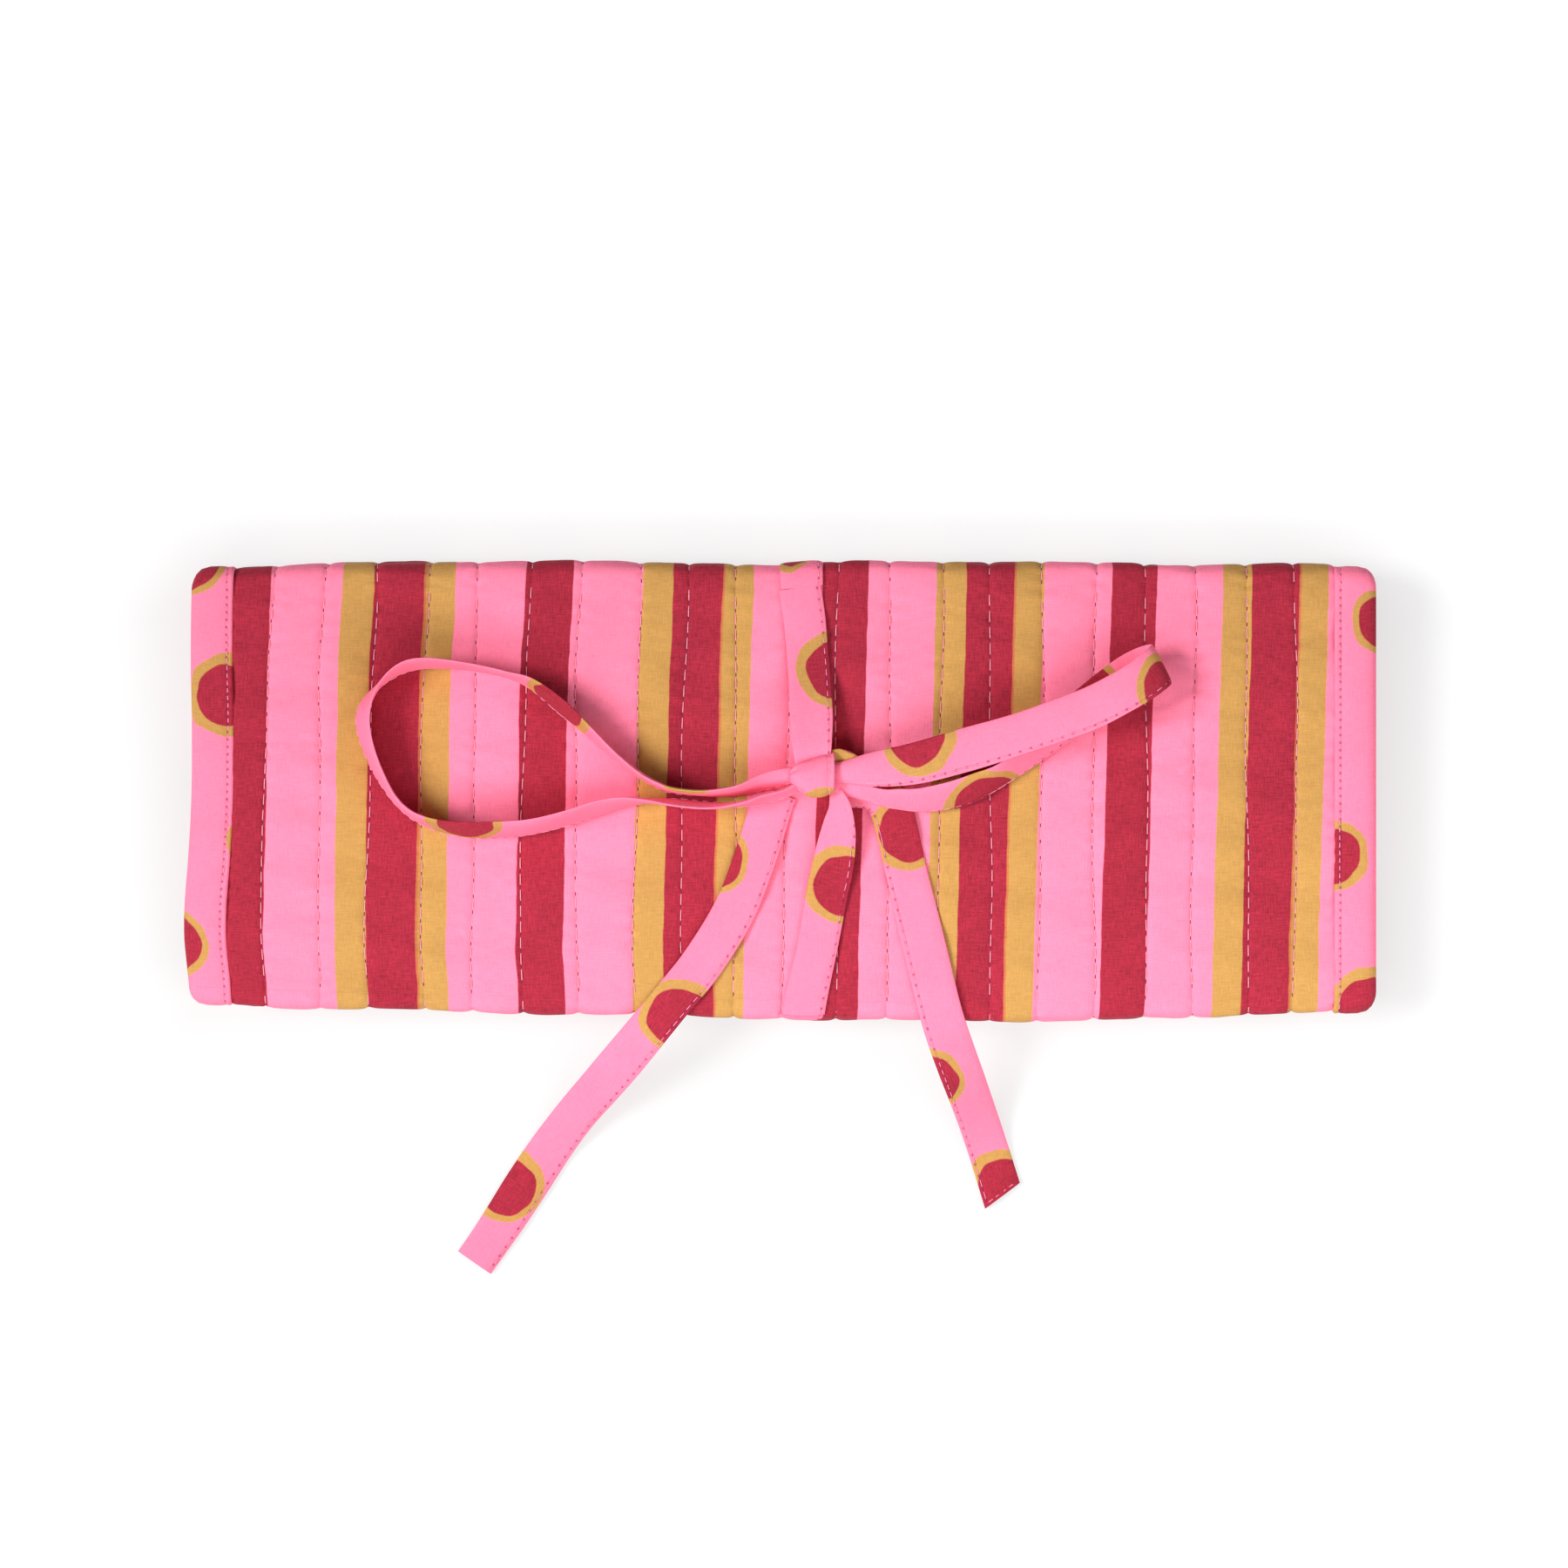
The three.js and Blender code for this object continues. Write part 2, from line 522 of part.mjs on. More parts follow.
/** The bow: knot, two loops and two tails. Loops stand or lie on the face, tails reach the table. */
function addBow() {
  const knot = new THREE.SphereGeometry(0.5, 16, 10);
  knot.scale(...KNOT_SIZE).translate(...KNOT_CENTER, TOP + KNOT_LIFT);
  addPiece(roll, 'bow_knot', knot, finish('tie'));

  const leftLoop = [
    [0.7, 2.8, TOP + 5.6, 0, 0.42, 0.25],
    [-4.4, 1.3, TOP + 5.7, 0, 0.38, 0.6],
    [-10.1, -0.3, TOP + 5.6, 0, 0.2, 0.9],
    [-17.2, -0.8, TOP + 5.5, -0.02, 0.09, 0.98],
    [-24.3, -0.3, TOP + 5.4, -0.04, 0.1, 0.98],
    [-28.5, 1, TOP + 5.4, -0.06, 0.13, 0.98],
    [-32.8, 3.5, TOP + 5.4, -0.08, 0.13, 0.98],
    [-38.5, 7.9, TOP + 5.4, -0.1, 0.13, 0.98],
    [-44.1, 13.2, TOP + 5.4, -0.14, 0.15, 0.97],
    [-50.2, 18.7, TOP + 5.4, -0.17, 0.19, 0.96],
    [-57, 24, TOP + 5.4, -0.09, 0.15, 0.98],
    [-62.6, 26, TOP + 5.4, -0.05, 0.14, 0.98],
    [-71.1, 27.7, TOP + 5.4, -0.02, 0.14, 0.98],
    [-79, 28.6, TOP + 5.3, 0, 0.18, 0.98],
    [-84.6, 28, TOP + 5.2, 0.04, 0.22, 0.97],
    [-88.9, 25.8, TOP + 5.1, 0.14, 0.22, 0.96],
    [-92.8, 22, TOP + 5.0, 0.28, 0.16, 0.94],
    [-94.9, 18.1, TOP + 5.0, 0.37, 0.06, 0.92],
    [-95.1, 14.2, TOP + 5.0, 0.38, 0.02, 0.92],
    [-93.7, 8.9, TOP + 5.0, 0.33, 0.04, 0.94],
    [-91.2, 3.2, TOP + 5.2, 0.22, 0.08, 0.97],
    [-88.2, -1.8, TOP + 5.3, 0.12, 0.1, 0.98],
    [-84.8, -5.2, TOP + 5.4, 0.06, 0.15, 0.98],
    [-81.1, -7.2, TOP + 5.4, 0.02, 0.22, 0.97],
    [-76.8, -8.5, TOP + 5.4, 0, 0.3, 0.95],
    [-70.4, -9.3, TOP + 5.3, 0, 0.36, 0.93],
    [-62.6, -9.1, TOP + 5.3, 0, 0.36, 0.93],
    [-56.9, -8.5, TOP + 5.3, -0.02, 0.35, 0.93],
    [-49.1, -6.6, TOP + 5.3, -0.04, 0.34, 0.93],
    [-42, -4.3, TOP + 5.4, -0.04, 0.32, 0.94],
    [-36.5, -3, TOP + 5.4, -0.02, 0.22, 0.97],
    [-31.4, -2.7, TOP + 5.4, 0, 0.04, 0.99],
    [-25.4, -3, TOP + 5.4, 0, -0.13, 0.98],
    [-19, -3.5, TOP + 5.5, 0, -0.13, 0.98],
    [-13.3, -3.7, TOP + 5.6, 0, -0.04, 0.95],
    [-8.5, -3.2, TOP + 6.0, 0, 0.08, 0.88],
    [-4.4, -2, TOP + 6.0, 0, 0.2, 0.68],
    [0.7, -0.5, TOP + 5.6, 0, 0.2, 0.47],
  ];
  addPiece(roll, 'bow_loop_left', strap(leftLoop), finish('tie'));

  const rightLoop = [
    [12.9, 1.2, TOP + 4.0, 0, 0.45, 0.12],
    [18.4, -0.5, TOP + 4.1, -0.02, 0.38, 0.3],
    [22.8, -1.9, TOP + 4.6, -0.02, 0.42, 0.42],
    [26.5, -2.3, TOP + 4.9, -0.01, 0.5, 0.52],
    [30.5, -2.5, TOP + 4.9, 0, 0.56, 0.54],
    [36.8, -1.7, TOP + 4.4, -0.1, 0.65, 0.68],
    [43.8, 0.5, TOP + 4.5, -0.2, 0.6, 0.72],
    [50.1, 3.7, TOP + 4.7, -0.24, 0.48, 0.8],
    [57.2, 9.2, TOP + 4.6, -0.36, 0.56, 0.7],
    [64.7, 15.8, TOP + 4.4, -0.5, 0.65, 0.54],
    [72.3, 22, TOP + 4.5, -0.5, 0.74, 0.42],
    [78, 25.8, TOP + 4.9, -0.48, 0.82, 0.25],
    [82, 27.6, TOP + 5.8, -0.46, 0.87, 0.1],
    [84.6, 28.2, TOP + 7.4, -0.45, 0.89, 0],
    [85.3, 28.2, TOP + 9.4, -0.45, 0.89, 0],
    [84, 27, TOP + 11.6, -0.44, 0.9, 0],
    [79.6, 23.8, TOP + 12.7, -0.42, 0.91, 0],
    [70, 18.6, TOP + 12.4, -0.38, 0.92, 0],
    [59.6, 14.7, TOP + 11.4, -0.33, 0.94, 0],
    [50, 11.5, TOP + 10.4, -0.3, 0.95, 0],
    [40.8, 8.8, TOP + 9.5, -0.25, 0.97, 0],
    [30, 5.9, TOP + 8.6, -0.2, 0.96, 0],
    [20, 4.4, TOP + 7.7, -0.1, 0.8, 0.05],
    [12.9, 3.8, TOP + 6.7, -0.04, 0.6, 0.05],
  ];
  addPiece(roll, 'bow_loop_right', strap(rightLoop), finish('tie'));

  const leftTail = [
    [-1.4, -0.6, TOP + LIE, 0.93, -0.3, 0],
    [-2.8, -4.2, TOP + LIE, 0.94, -0.3, 0],
    [-5.8, -13.9, TOP + LIE, 0.92, -0.38, 0],
    [-10.8, -27, TOP + LIE, 0.88, -0.47, 0],
    [-18.2, -39.2, TOP + LIE, 0.8, -0.6, 0],
    [-26.1, -49, TOP + LIE, 0.79, -0.61, 0],
    [-30, -53.8, TOP + 0.5, 0.78, -0.62, 0],
    [-35.5, -60.5, 16.6, 0.77, -0.64, 0],
    [-41.5, -67.6, 10.5, 0.77, -0.64, 0],
    [-47.5, -74.6, 4.6, 0.78, -0.62, 0],
    [-53.2, -82.2, 1.3, 0.84, -0.54, 0],
    [-59.2, -91.2, LIE, 0.87, -0.5, 0],
    [-65, -100.2, LIE, 0.88, -0.48, 0],
    [-71.2, -109.2, LIE, 0.93, -0.4, 0],
  ];
  addPiece(roll, 'tie_tail_left', strap(leftTail), finish('tie'));

  const rightTail = [
    [13.2, -0.6, TOP + LIE, 0, 0.75, 0],
    [19, -0.4, TOP + LIE, 0.2, 0.8, 0],
    [23, -2.2, TOP + LIE, 0.75, 0.6, 0],
    [24.8, -5.5, TOP + LIE, 0.96, 0.28, 0],
    [26.1, -10, TOP + LIE, 0.98, 0.21, 0],
    [27.8, -18, TOP + LIE, 0.98, 0.21, 0],
    [31.9, -35, TOP + LIE, 0.97, 0.24, 0],
    [35.2, -48.4, TOP + LIE, 0.97, 0.24, 0],
    [36.9, -54.4, TOP + 0.4, 0.97, 0.26, 0],
    [39.6, -62, 16.4, 0.95, 0.3, 0],
    [42.5, -69.6, 10, 0.94, 0.33, 0],
    [45.2, -77, 4, 0.94, 0.35, 0],
    [47.7, -84.4, 1.1, 0.94, 0.34, 0],
    [50.6, -93.8, LIE, 0.95, 0.3, 0],
  ];
  addPiece(roll, 'tie_tail_right', strap(rightTail), finish('tie'));
}

addStretch('base', { quilted: false, freeFirst: true });
addStretch('spine');
addStretch('face');
addStretch('front_fold');
addStretch('flap', { freeLast: true });
addEdgeBinding('base_front_binding', BASE_FRONT, 1, 0, true);
addEdgeBinding('flap_edge_binding', FLAP_EDGE, -1, FLAP_BOTTOM, true);
addBasePocket();
addFacePocket();
addRingBar();
addTieStraps();
addBow();

export default roll;
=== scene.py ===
"""A quilted jewelry roll, folded in three and tied with a bow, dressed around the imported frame.

The classes work in millimetres, in the frame's own axes; MM turns them into Blender's metres.
"""

import logging
import math
from collections.abc import Sequence
from dataclasses import dataclass, field
from enum import Enum
from functools import cached_property, reduce

import bpy
import numpy as np
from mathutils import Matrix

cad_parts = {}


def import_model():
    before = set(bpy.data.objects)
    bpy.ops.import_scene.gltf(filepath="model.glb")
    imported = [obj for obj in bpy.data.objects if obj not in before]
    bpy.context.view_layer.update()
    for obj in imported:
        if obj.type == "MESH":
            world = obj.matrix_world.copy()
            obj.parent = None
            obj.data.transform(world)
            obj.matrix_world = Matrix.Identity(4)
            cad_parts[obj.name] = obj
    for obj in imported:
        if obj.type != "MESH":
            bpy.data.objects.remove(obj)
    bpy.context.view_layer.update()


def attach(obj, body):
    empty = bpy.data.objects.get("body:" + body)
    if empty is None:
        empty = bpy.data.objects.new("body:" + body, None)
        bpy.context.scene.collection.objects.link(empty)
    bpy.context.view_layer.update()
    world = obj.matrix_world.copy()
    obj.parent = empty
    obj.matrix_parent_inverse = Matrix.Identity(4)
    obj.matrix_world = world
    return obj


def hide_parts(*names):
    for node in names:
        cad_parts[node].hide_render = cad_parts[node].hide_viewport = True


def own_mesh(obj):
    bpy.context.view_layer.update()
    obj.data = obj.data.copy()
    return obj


MM = 0.001
LOG = logging.getLogger("jewelry_roll")

Array = np.ndarray
Piece = bpy.types.Object
Material = bpy.types.Material
Color = tuple[float, float, float, float]
Pair = tuple[float, float]
Triple = tuple[float, float, float]


class Slot(str, Enum):
    """The record's material slots."""

    PRINT = "print"
    LINING = "lining"
    BINDING = "binding"
    TIE = "tie"
    TAPE = "zip_tape"
    COIL = "zip_coil"
    BRASS = "brass"


def srgb(*levels: float) -> Color:
    """Turns an 8-bit sRGB colour into a linear one.

    Args:
        levels: red, green and blue, from 0 to 255.

    Returns:
        The linear colour, opaque.
    """
    channels = np.array(levels) / 255.0
    linear = np.where(channels <= 0.04045, channels / 12.92, ((channels + 0.055) / 1.055) ** 2.4)
    return (*(float(value) for value in linear), 1.0)


def smooth(values: Array, low: float, high: float) -> Array:
    """Eases from 0 at low to 1 at high."""
    share = np.clip((np.asarray(values, float) - low) / (high - low), 0.0, 1.0)
    return share * share * (3.0 - 2.0 * share)


def bell(values: Array, middle: float, width: float) -> Array:
    """Gives a bell curve that is 1 at its middle and falls off over a width."""
    return np.exp(-(((values - middle) / width) ** 2))


def blunt(values: Array, power: float) -> Array:
    """Raises a sine or cosine to a power and keeps its sign; below 1 this squares a circle's corners."""
    return np.sign(values) * np.abs(values) ** power


def around(count: int) -> Array:
    """Gives evenly spaced angles of one full turn."""
    return np.arange(count) * (2.0 * np.pi / count)


def spread(*parts: Array | float) -> Array:
    """Stacks coordinates into points, after they are broadcast to one shape."""
    return np.stack(np.broadcast_arrays(*parts), axis=-1)


def unit(vectors: Array) -> Array:
    """Scales rows of vectors to a length of 1."""
    return vectors / np.linalg.norm(vectors, axis=1, keepdims=True)


def lengths(points: Array) -> Array:
    """Measures along a line of points, from 0 at its first one."""
    return np.concatenate([[0.0], np.cumsum(np.linalg.norm(np.diff(points, axis=0), axis=1))])


class Ripple:
    """Smooth, seeded unevenness: a sum of sines that run in different directions."""

    def __init__(self, seed: int, length: float, waves: int = 7) -> None:
        """Draws the waves.

        Args:
            seed: the seed of the draw.
            length: the typical wavelength, in millimetres.
            waves: how many sines are added.
        """
        rng = np.random.default_rng(seed)
        angle = rng.uniform(0.0, 2.0 * np.pi, waves)
        rate = 2.0 * np.pi / (length * rng.uniform(0.6, 1.7, waves))
        self.rates = np.stack([np.cos(angle) * rate, np.sin(angle) * rate])
        self.phases = rng.uniform(0.0, 2.0 * np.pi, waves)

    def __call__(self, first: Array, second: Array | float) -> Array:
        """Adds up the waves.

        Args:
            first: the first coordinate, in millimetres.
            second: the second coordinate.

        Returns:
            The unevenness there, about -1 to 1.
        """
        first, second = np.broadcast_arrays(np.asarray(first, float), np.asarray(second, float))
        total = np.zeros(first.shape)
        for across, along, phase in zip(*self.rates, self.phases):
            total += np.sin(first * across + second * along + phase)
        return total / math.sqrt(len(self.phases))


# Shader values and finishes


class Value:
    """A shader socket that takes part in arithmetic."""

    def __init__(self, graph: "Graph", socket: bpy.types.NodeSocket) -> None:
        """Wraps an output socket of the graph's tree."""
        self.graph = graph
        self.socket = socket

    def math(self, operation: str, *others: "Value | float") -> "Value":
        """Applies a math node to this value and others."""
        return self.graph.add("ShaderNodeMath", {"operation": operation}, (self, *others))

    def __add__(self, other: "Value | float") -> "Value":
        """Adds."""
        return self.math("ADD", other)

    __radd__ = __add__

    def __sub__(self, other: "Value | float") -> "Value":
        """Subtracts."""
        return self.math("SUBTRACT", other)

    def __rsub__(self, other: float) -> "Value":
        """Subtracts this value from a number."""
        return self * -1.0 + other

    def __mul__(self, other: "Value | float") -> "Value":
        """Multiplies."""
        return self.math("MULTIPLY", other)

    __rmul__ = __mul__

    def __truediv__(self, other: "Value | float") -> "Value":
        """Divides."""
        return self.math("DIVIDE", other)

    def __abs__(self) -> "Value":
        """Drops the sign."""
        return self.math("ABSOLUTE")

    def minimum(self, other: "Value | float") -> "Value":
        """Gives the lesser of the two."""
        return self.math("MINIMUM", other)

    def maximum(self, other: "Value | float") -> "Value":
        """Gives the greater of the two."""
        return self.math("MAXIMUM", other)

    def step(self, low: float, high: float) -> "Value":
        """Eases from 0 at low to 1 at high; low may be the greater one."""
        settings = {"interpolation_type": "SMOOTHSTEP"}
        return self.graph.add("ShaderNodeMapRange", settings, (self, low, high, 0.0, 1.0))


class Graph:
    """The node tree of one material, or of the world."""

    # A Mix node's colour sockets go by index, because its other sockets share their names.
    MIX_SHARE, MIX_FIRST, MIX_SECOND, MIX_RESULT = 0, 6, 7, 2

    def __init__(self, name: str, world: bpy.types.World | None = None) -> None:
        """Makes an empty material, or empties the world's tree.

        Args:
            name: the material's name.
            world: the world, where the tree is its own.
        """
        self.material = world or bpy.data.materials.new(name)
        self.material.use_nodes = True
        self.tree = self.material.node_tree
        self.tree.nodes.clear()

    def add(
        self,
        kind: str,
        settings: dict[str, object] | None = None,
        inputs: Sequence[object] | dict[object, object] = (),
        output: int | str = 0,
    ) -> Value:
        """Adds a node of any kind.

        Args:
            kind: the node's type.
            settings: the node's own properties, set first.
            inputs: socket values or links, in order or by socket index or name.
            output: the socket that the result stands for.

        Returns:
            The chosen output.
        """
        node = self.tree.nodes.new(kind)
        for name, value in (settings or {}).items():
            setattr(node, name, value)
        pairs = inputs.items() if isinstance(inputs, dict) else enumerate(inputs)
        for key, value in pairs:
            if isinstance(value, Value):
                self.tree.links.new(value.socket, node.inputs[key])
            elif value is not None:
                node.inputs[key].default_value = value
        return Value(self, node.outputs[output])

    @cached_property
    def cloth(self) -> tuple[Value, Value]:
        """Reads the cloth's own map.

        Returns:
            Its coordinates across and along the cloth, in millimetres.
        """
        uv = self.add("ShaderNodeUVMap", {"uv_map": "cloth"})
        split = self.tree.nodes.new("ShaderNodeSeparateXYZ")
        self.tree.links.new(uv.socket, split.inputs[0])
        return tuple(Value(self, split.outputs[axis]) / MM for axis in range(2))

    def noise(self, sizes: Pair, detail: float = 2.0, seed: float = 0.0, shear: float = 0.0) -> Value:
        """Adds noise that lies on the cloth.

        Args:
            sizes: how large it is across and along, in millimetres.
            detail: how much finer noise is added to it.
            seed: which noise it is.
            shear: how far it slips across for each millimetre along.

        Returns:
            The noise, about -0.5 to 0.5.
        """
        across, along = self.cloth
        across = across + along * shear if shear else across
        spot = self.add("ShaderNodeCombineXYZ", None, (across / sizes[0], along / sizes[1], seed))
        inputs = {"Vector": spot, "Scale": 1.0, "Detail": detail}
        return self.add("ShaderNodeTexNoise", {"noise_dimensions": "3D"}, inputs) - 0.5

    def mix(
        self, share: Value | float, first: Value | Color, second: Value | Color, blend: str = "MIX"
    ) -> Value:
        """Mixes two colours.

        Args:
            share: how much of the second colour is taken.
            first: the first colour.
            second: the second colour.
            blend: how they are blended.

        Returns:
            The mixed colour.
        """
        settings = {"data_type": "RGBA", "blend_type": blend}
        inputs = {self.MIX_SHARE: share, self.MIX_FIRST: first, self.MIX_SECOND: second}
        return self.add("ShaderNodeMix", settings, inputs, self.MIX_RESULT)

    def shade(self, color: Value | Color, factor: Value) -> Value:
        """Multiplies a colour by a grey value."""
        grey = self.add("ShaderNodeCombineColor", None, (factor, factor, factor))
        return self.mix(1.0, color, grey, "MULTIPLY")

    def surface(self, height: Value | None = None, relief: float = 0.1, **inputs: object) -> Material:
        """Ends the tree in a Principled shader.

        Args:
            height: a bump height, from about -1 to 1.
            relief: what a height of 1 stands for, in millimetres.
            inputs: sockets of the shader, with underscores for spaces.

        Returns:
            The material.
        """
        named = {key.replace("_", " "): value for key, value in inputs.items()}
        if height is not None:
            bump = {"Strength": 1.0, "Distance": relief * MM, "Height": height}
            named["Normal"] = self.add("ShaderNodeBump", None, bump)
        self.add_output(self.add("ShaderNodeBsdfPrincipled", None, named))
        return self.material

    def add_output(self, shader: Value, kind: str = "ShaderNodeOutputMaterial") -> None:
        """Links a shader to the tree's output."""
        node = self.tree.nodes.new(kind)
        self.tree.links.new(shader.socket, node.inputs["Surface"])

    def looked_at(self) -> Value:
        """Tells what the camera looks at, straight, by a reflection or through glass, from other light.

        Returns:
            1 for such a ray and 0 for any other one.
        """
        rays = ("Is Camera Ray", "Is Glossy Ray", "Is Transmission Ray")
        straight, mirrored, through = (self.add("ShaderNodeLightPath", None, (), ray) for ray in rays)
        return straight.maximum(mirrored).maximum(through)


@dataclass(frozen=True)
class Palette:
    """The colours of the printed cotton, its threads, and the dark needle holes, whose colour is painted
    shade.
    """

    pink: Color = srgb(255, 130, 162)
    dotted: Color = srgb(254, 126, 159)
    burgundy: Color = srgb(160, 38, 57)
    mustard: Color = srgb(191, 143, 78)
    seam: Color = srgb(196, 98, 66)
    thread: Color = srgb(232, 150, 166)
    topstitch: Color = srgb(244, 150, 178)
    # The needle holes' colour: real holes, made darker as painted shade of the hollows between the stitches.
    hole: Color = srgb(120, 22, 74)


PALETTE = Palette()


@dataclass(frozen=True)
class Cotton:
    """Plain-woven cotton: a coloured print with threads, slubs and small unevenness.

    The ground, mustard and burgundy fields say how strongly the threads show in each colour.
    """

    name: str
    slub: float = 0.52
    roughness: float = 0.86
    ground: float = 0.45
    mustard: float = 0.12
    burgundy: float = 0.8

    def weave(self, graph: Graph) -> tuple[Value, Value]:
        """Gives the thread pattern and the slow blotches of the dye.

        Args:
            graph: the material's graph.

        Returns:
            The threads and the blotches, each about -0.5 to 0.5.
        """
        warp = graph.noise((0.3, 2.6), 1.0, 3.0)
        weft = graph.noise((2.6, 0.3), 1.0, 8.0)
        fleck = graph.noise((0.55, 0.55), 2.0, 5.0)
        blotch = graph.noise((9.0, 14.0), 3.0, 1.0)
        return warp + weft + fleck * 0.6, blotch

    def color(self, graph: Graph) -> tuple[Value, Value]:
        """Gives the print's colour and how strongly the threads show in it."""
        raise NotImplementedError

    def ringed(self, graph: Graph, base: Color, ring: Value, core: Value, fade: float) -> tuple[Value, Value]:
        """Paints burgundy cores in mustard rings.

        Args:
            graph: the material's graph.
            base: the colour round the rings.
            ring: how far outside the rings a point lies, in millimetres.
            core: how far outside the cores it lies.
            fade: half the width over which a colour ends.

        Returns:
            The colour, and how strongly the threads show in it.
        """
        outer, inner = (edge.step(fade, -fade) for edge in (ring, core))
        color = graph.mix(outer, base, PALETTE.mustard)
        color = graph.mix(inner, color, PALETTE.burgundy)
        return color, outer * self.mustard + inner * self.burgundy + self.ground

    def make(self) -> Material:
        """Makes the material: the print, toned by its threads and blotches.

        Returns:
            The material.
        """
        graph = Graph(self.name)
        threads, blotch = self.weave(graph)
        color, show = self.color(graph)
        tone = threads * show * self.slub + blotch * (show * 0.2 + 0.05) + 1.0
        return graph.surface(
            threads, 0.05, Base_Color=graph.shade(color, tone), Roughness=self.roughness,
            Sheen_Weight=0.03, Sheen_Roughness=0.5, Specular_IOR_Level=0.15,
        )


@dataclass(frozen=True)
class StripedCotton(Cotton):
    """Leaning stripes: a burgundy one edged in mustard, then a plain burgundy one, on pink."""

    origin: float = -88.0
    repeat: float = 69.0
    tighten: float = 0.0124
    edged: float = 0.187
    core: float = 0.0835
    plain: float = 0.0795
    lean: float = 0.016
    lean_gain: float = 0.00015
    lean_bend: float = -0.0000005
    lean_from: float = 0.0
    seam: float = 0.0075
    fade: float = 0.0022
    slow_waver: float = 0.014
    fine_waver: float = 0.0045
    burgundy: float = 0.9

    def color(self, graph: Graph) -> tuple[Value, Value]:
        """Counts repeats across the cloth, wavers them, and reads the stripe at each share of a repeat.

        Args:
            graph: the material's graph.

        Returns:
            The colour, and how strongly the threads show in it.
        """
        across, along = graph.cloth
        slope = across * (across * self.lean_bend + self.lean_gain) + self.lean
        straight = across + (along - self.lean_from) * slope
        count = (straight - self.origin) / self.repeat
        count = count + count * count * self.tighten
        slow = graph.noise((11.0, 16.0), 2.0, 2.0)
        fine = graph.noise((2.4, 3.6), 1.0, 6.0)
        count = count + (slow * self.slow_waver + fine * self.fine_waver)
        share = count.math("WRAP", 0.5, -0.5)
        off, fade = abs(share), self.fade

        def within(reach: float) -> Value:
            """Gives 1 up to a share of the repeat on either side of its middle."""
            return off.step(reach + fade, reach - fade)

        mustard = within(self.edged)
        seam = within(self.core + self.seam) * share.step(-fade, fade)
        plain = off.step(0.5 - self.plain - fade, 0.5 - self.plain + fade)
        dark = within(self.core).maximum(plain)
        color = graph.mix(mustard, PALETTE.pink, PALETTE.mustard)
        color = graph.mix(seam * 0.75, color, PALETTE.seam)
        color = graph.mix(dark, color, PALETTE.burgundy)
        return color, mustard * self.mustard + dark * self.burgundy + self.ground


@dataclass(frozen=True)
class Dot:
    """A printed dot: a burgundy core that has slipped a little in its mustard ring, in millimetres."""

    along: float
    across: float
    core: float = 6.8
    ring: float = 9.0
    slip: Pair = (0.0, 0.0)


@dataclass(frozen=True)
class DottedCotton(Cotton):
    """Pink cotton with ringed dots at given places of a strip's map, and painted shade along a sewn row,
    darkest at its needle holes.
    """

    dots: tuple[Dot, ...] = ()
    sewn: float = 0.0
    pitch: float = 2.5
    stitch: float = 1.85
    sway: float = 2.2
    fade: float = 0.16
    far: float = 1000.0

    def marks(self, graph: Graph, color: Value) -> Value:
        """Paints shade on the cloth along a row of stitches, where the thread draws it in, darkest in the
        gaps between the stitches.

        Args:
            graph: the material's graph.
            color: the colour before.

        Returns:
            The colour with the painted shade.
        """
        across, along = graph.cloth
        beside = abs(along - self.sewn).step(0.42, 0.12)
        part = ((across - 1.0) / self.pitch).math("FRACT")
        gap = part.step(self.stitch / self.pitch - 0.05, self.stitch / self.pitch + 0.05)
        # Painted shade: the hole colour mixed in along the sewn row, most between the stitches.
        return graph.mix(beside * (gap * 0.5 + 0.16), color, PALETTE.hole)

    def color(self, graph: Graph) -> tuple[Value, Value]:
        """Measures from each dot's centre, wavered, and takes the nearest core and ring.

        Args:
            graph: the material's graph.

        Returns:
            The colour, and how strongly the threads show in it.
        """
        across, along = graph.cloth
        sway = graph.noise((7.0, 7.0), 1.0, 4.0) * self.sway
        tilt = graph.noise((7.0, 7.0), 1.0, 9.0) * self.sway
        spot = graph.add("ShaderNodeCombineXYZ", None, (across + sway, along + tilt, 0.0))
        nowhere = graph.add("ShaderNodeValue") + self.far

        def beyond(first: float, second: float, radius: float) -> Value:
            """Measures how far outside a circle on the cloth a point lies."""
            ends = (spot, (first, second, 0.0))
            return graph.add("ShaderNodeVectorMath", {"operation": "DISTANCE"}, ends, "Value") - radius

        rings = [beyond(dot.along, dot.across, dot.ring) for dot in self.dots]
        cores = [
            beyond(dot.along + dot.slip[0], dot.across + dot.slip[1], dot.core) for dot in self.dots
        ]
        ring, core = (reduce(Value.minimum, edges, nowhere) for edges in (rings, cores))
        color, show = self.ringed(graph, PALETTE.dotted, ring, core, self.fade)
        return self.marks(graph, color) if self.sewn else color, show


@dataclass(frozen=True)
class SpottedLining(Cotton):
    """The dotted cotton by the yard: ringed dots in staggered rows, for the inside."""

    pitch: float = 46.0
    core: float = 6.75
    ring: float = 9.05
    sway: float = 2.0
    fade: float = 0.15

    def color(self, graph: Graph) -> tuple[Value, Value]:
        """Wraps the cloth into staggered cells and measures from each cell's middle.

        Args:
            graph: the material's graph.

        Returns:
            The colour, and how strongly the threads show in it.
        """
        across, along = graph.cloth
        sway = graph.noise((7.0, 7.0), 1.0, 4.0) * self.sway
        row = ((along / self.pitch).math("FLOOR") * 0.5).math("FRACT")
        first = (across / self.pitch + row).math("WRAP", 0.5, -0.5) * self.pitch
        second = (along / self.pitch).math("FRACT") * self.pitch - self.pitch / 2.0
        off = (first * first + second * second).math("SQRT") + sway
        return self.ringed(graph, PALETTE.pink, off - self.ring, off - self.core, self.fade)


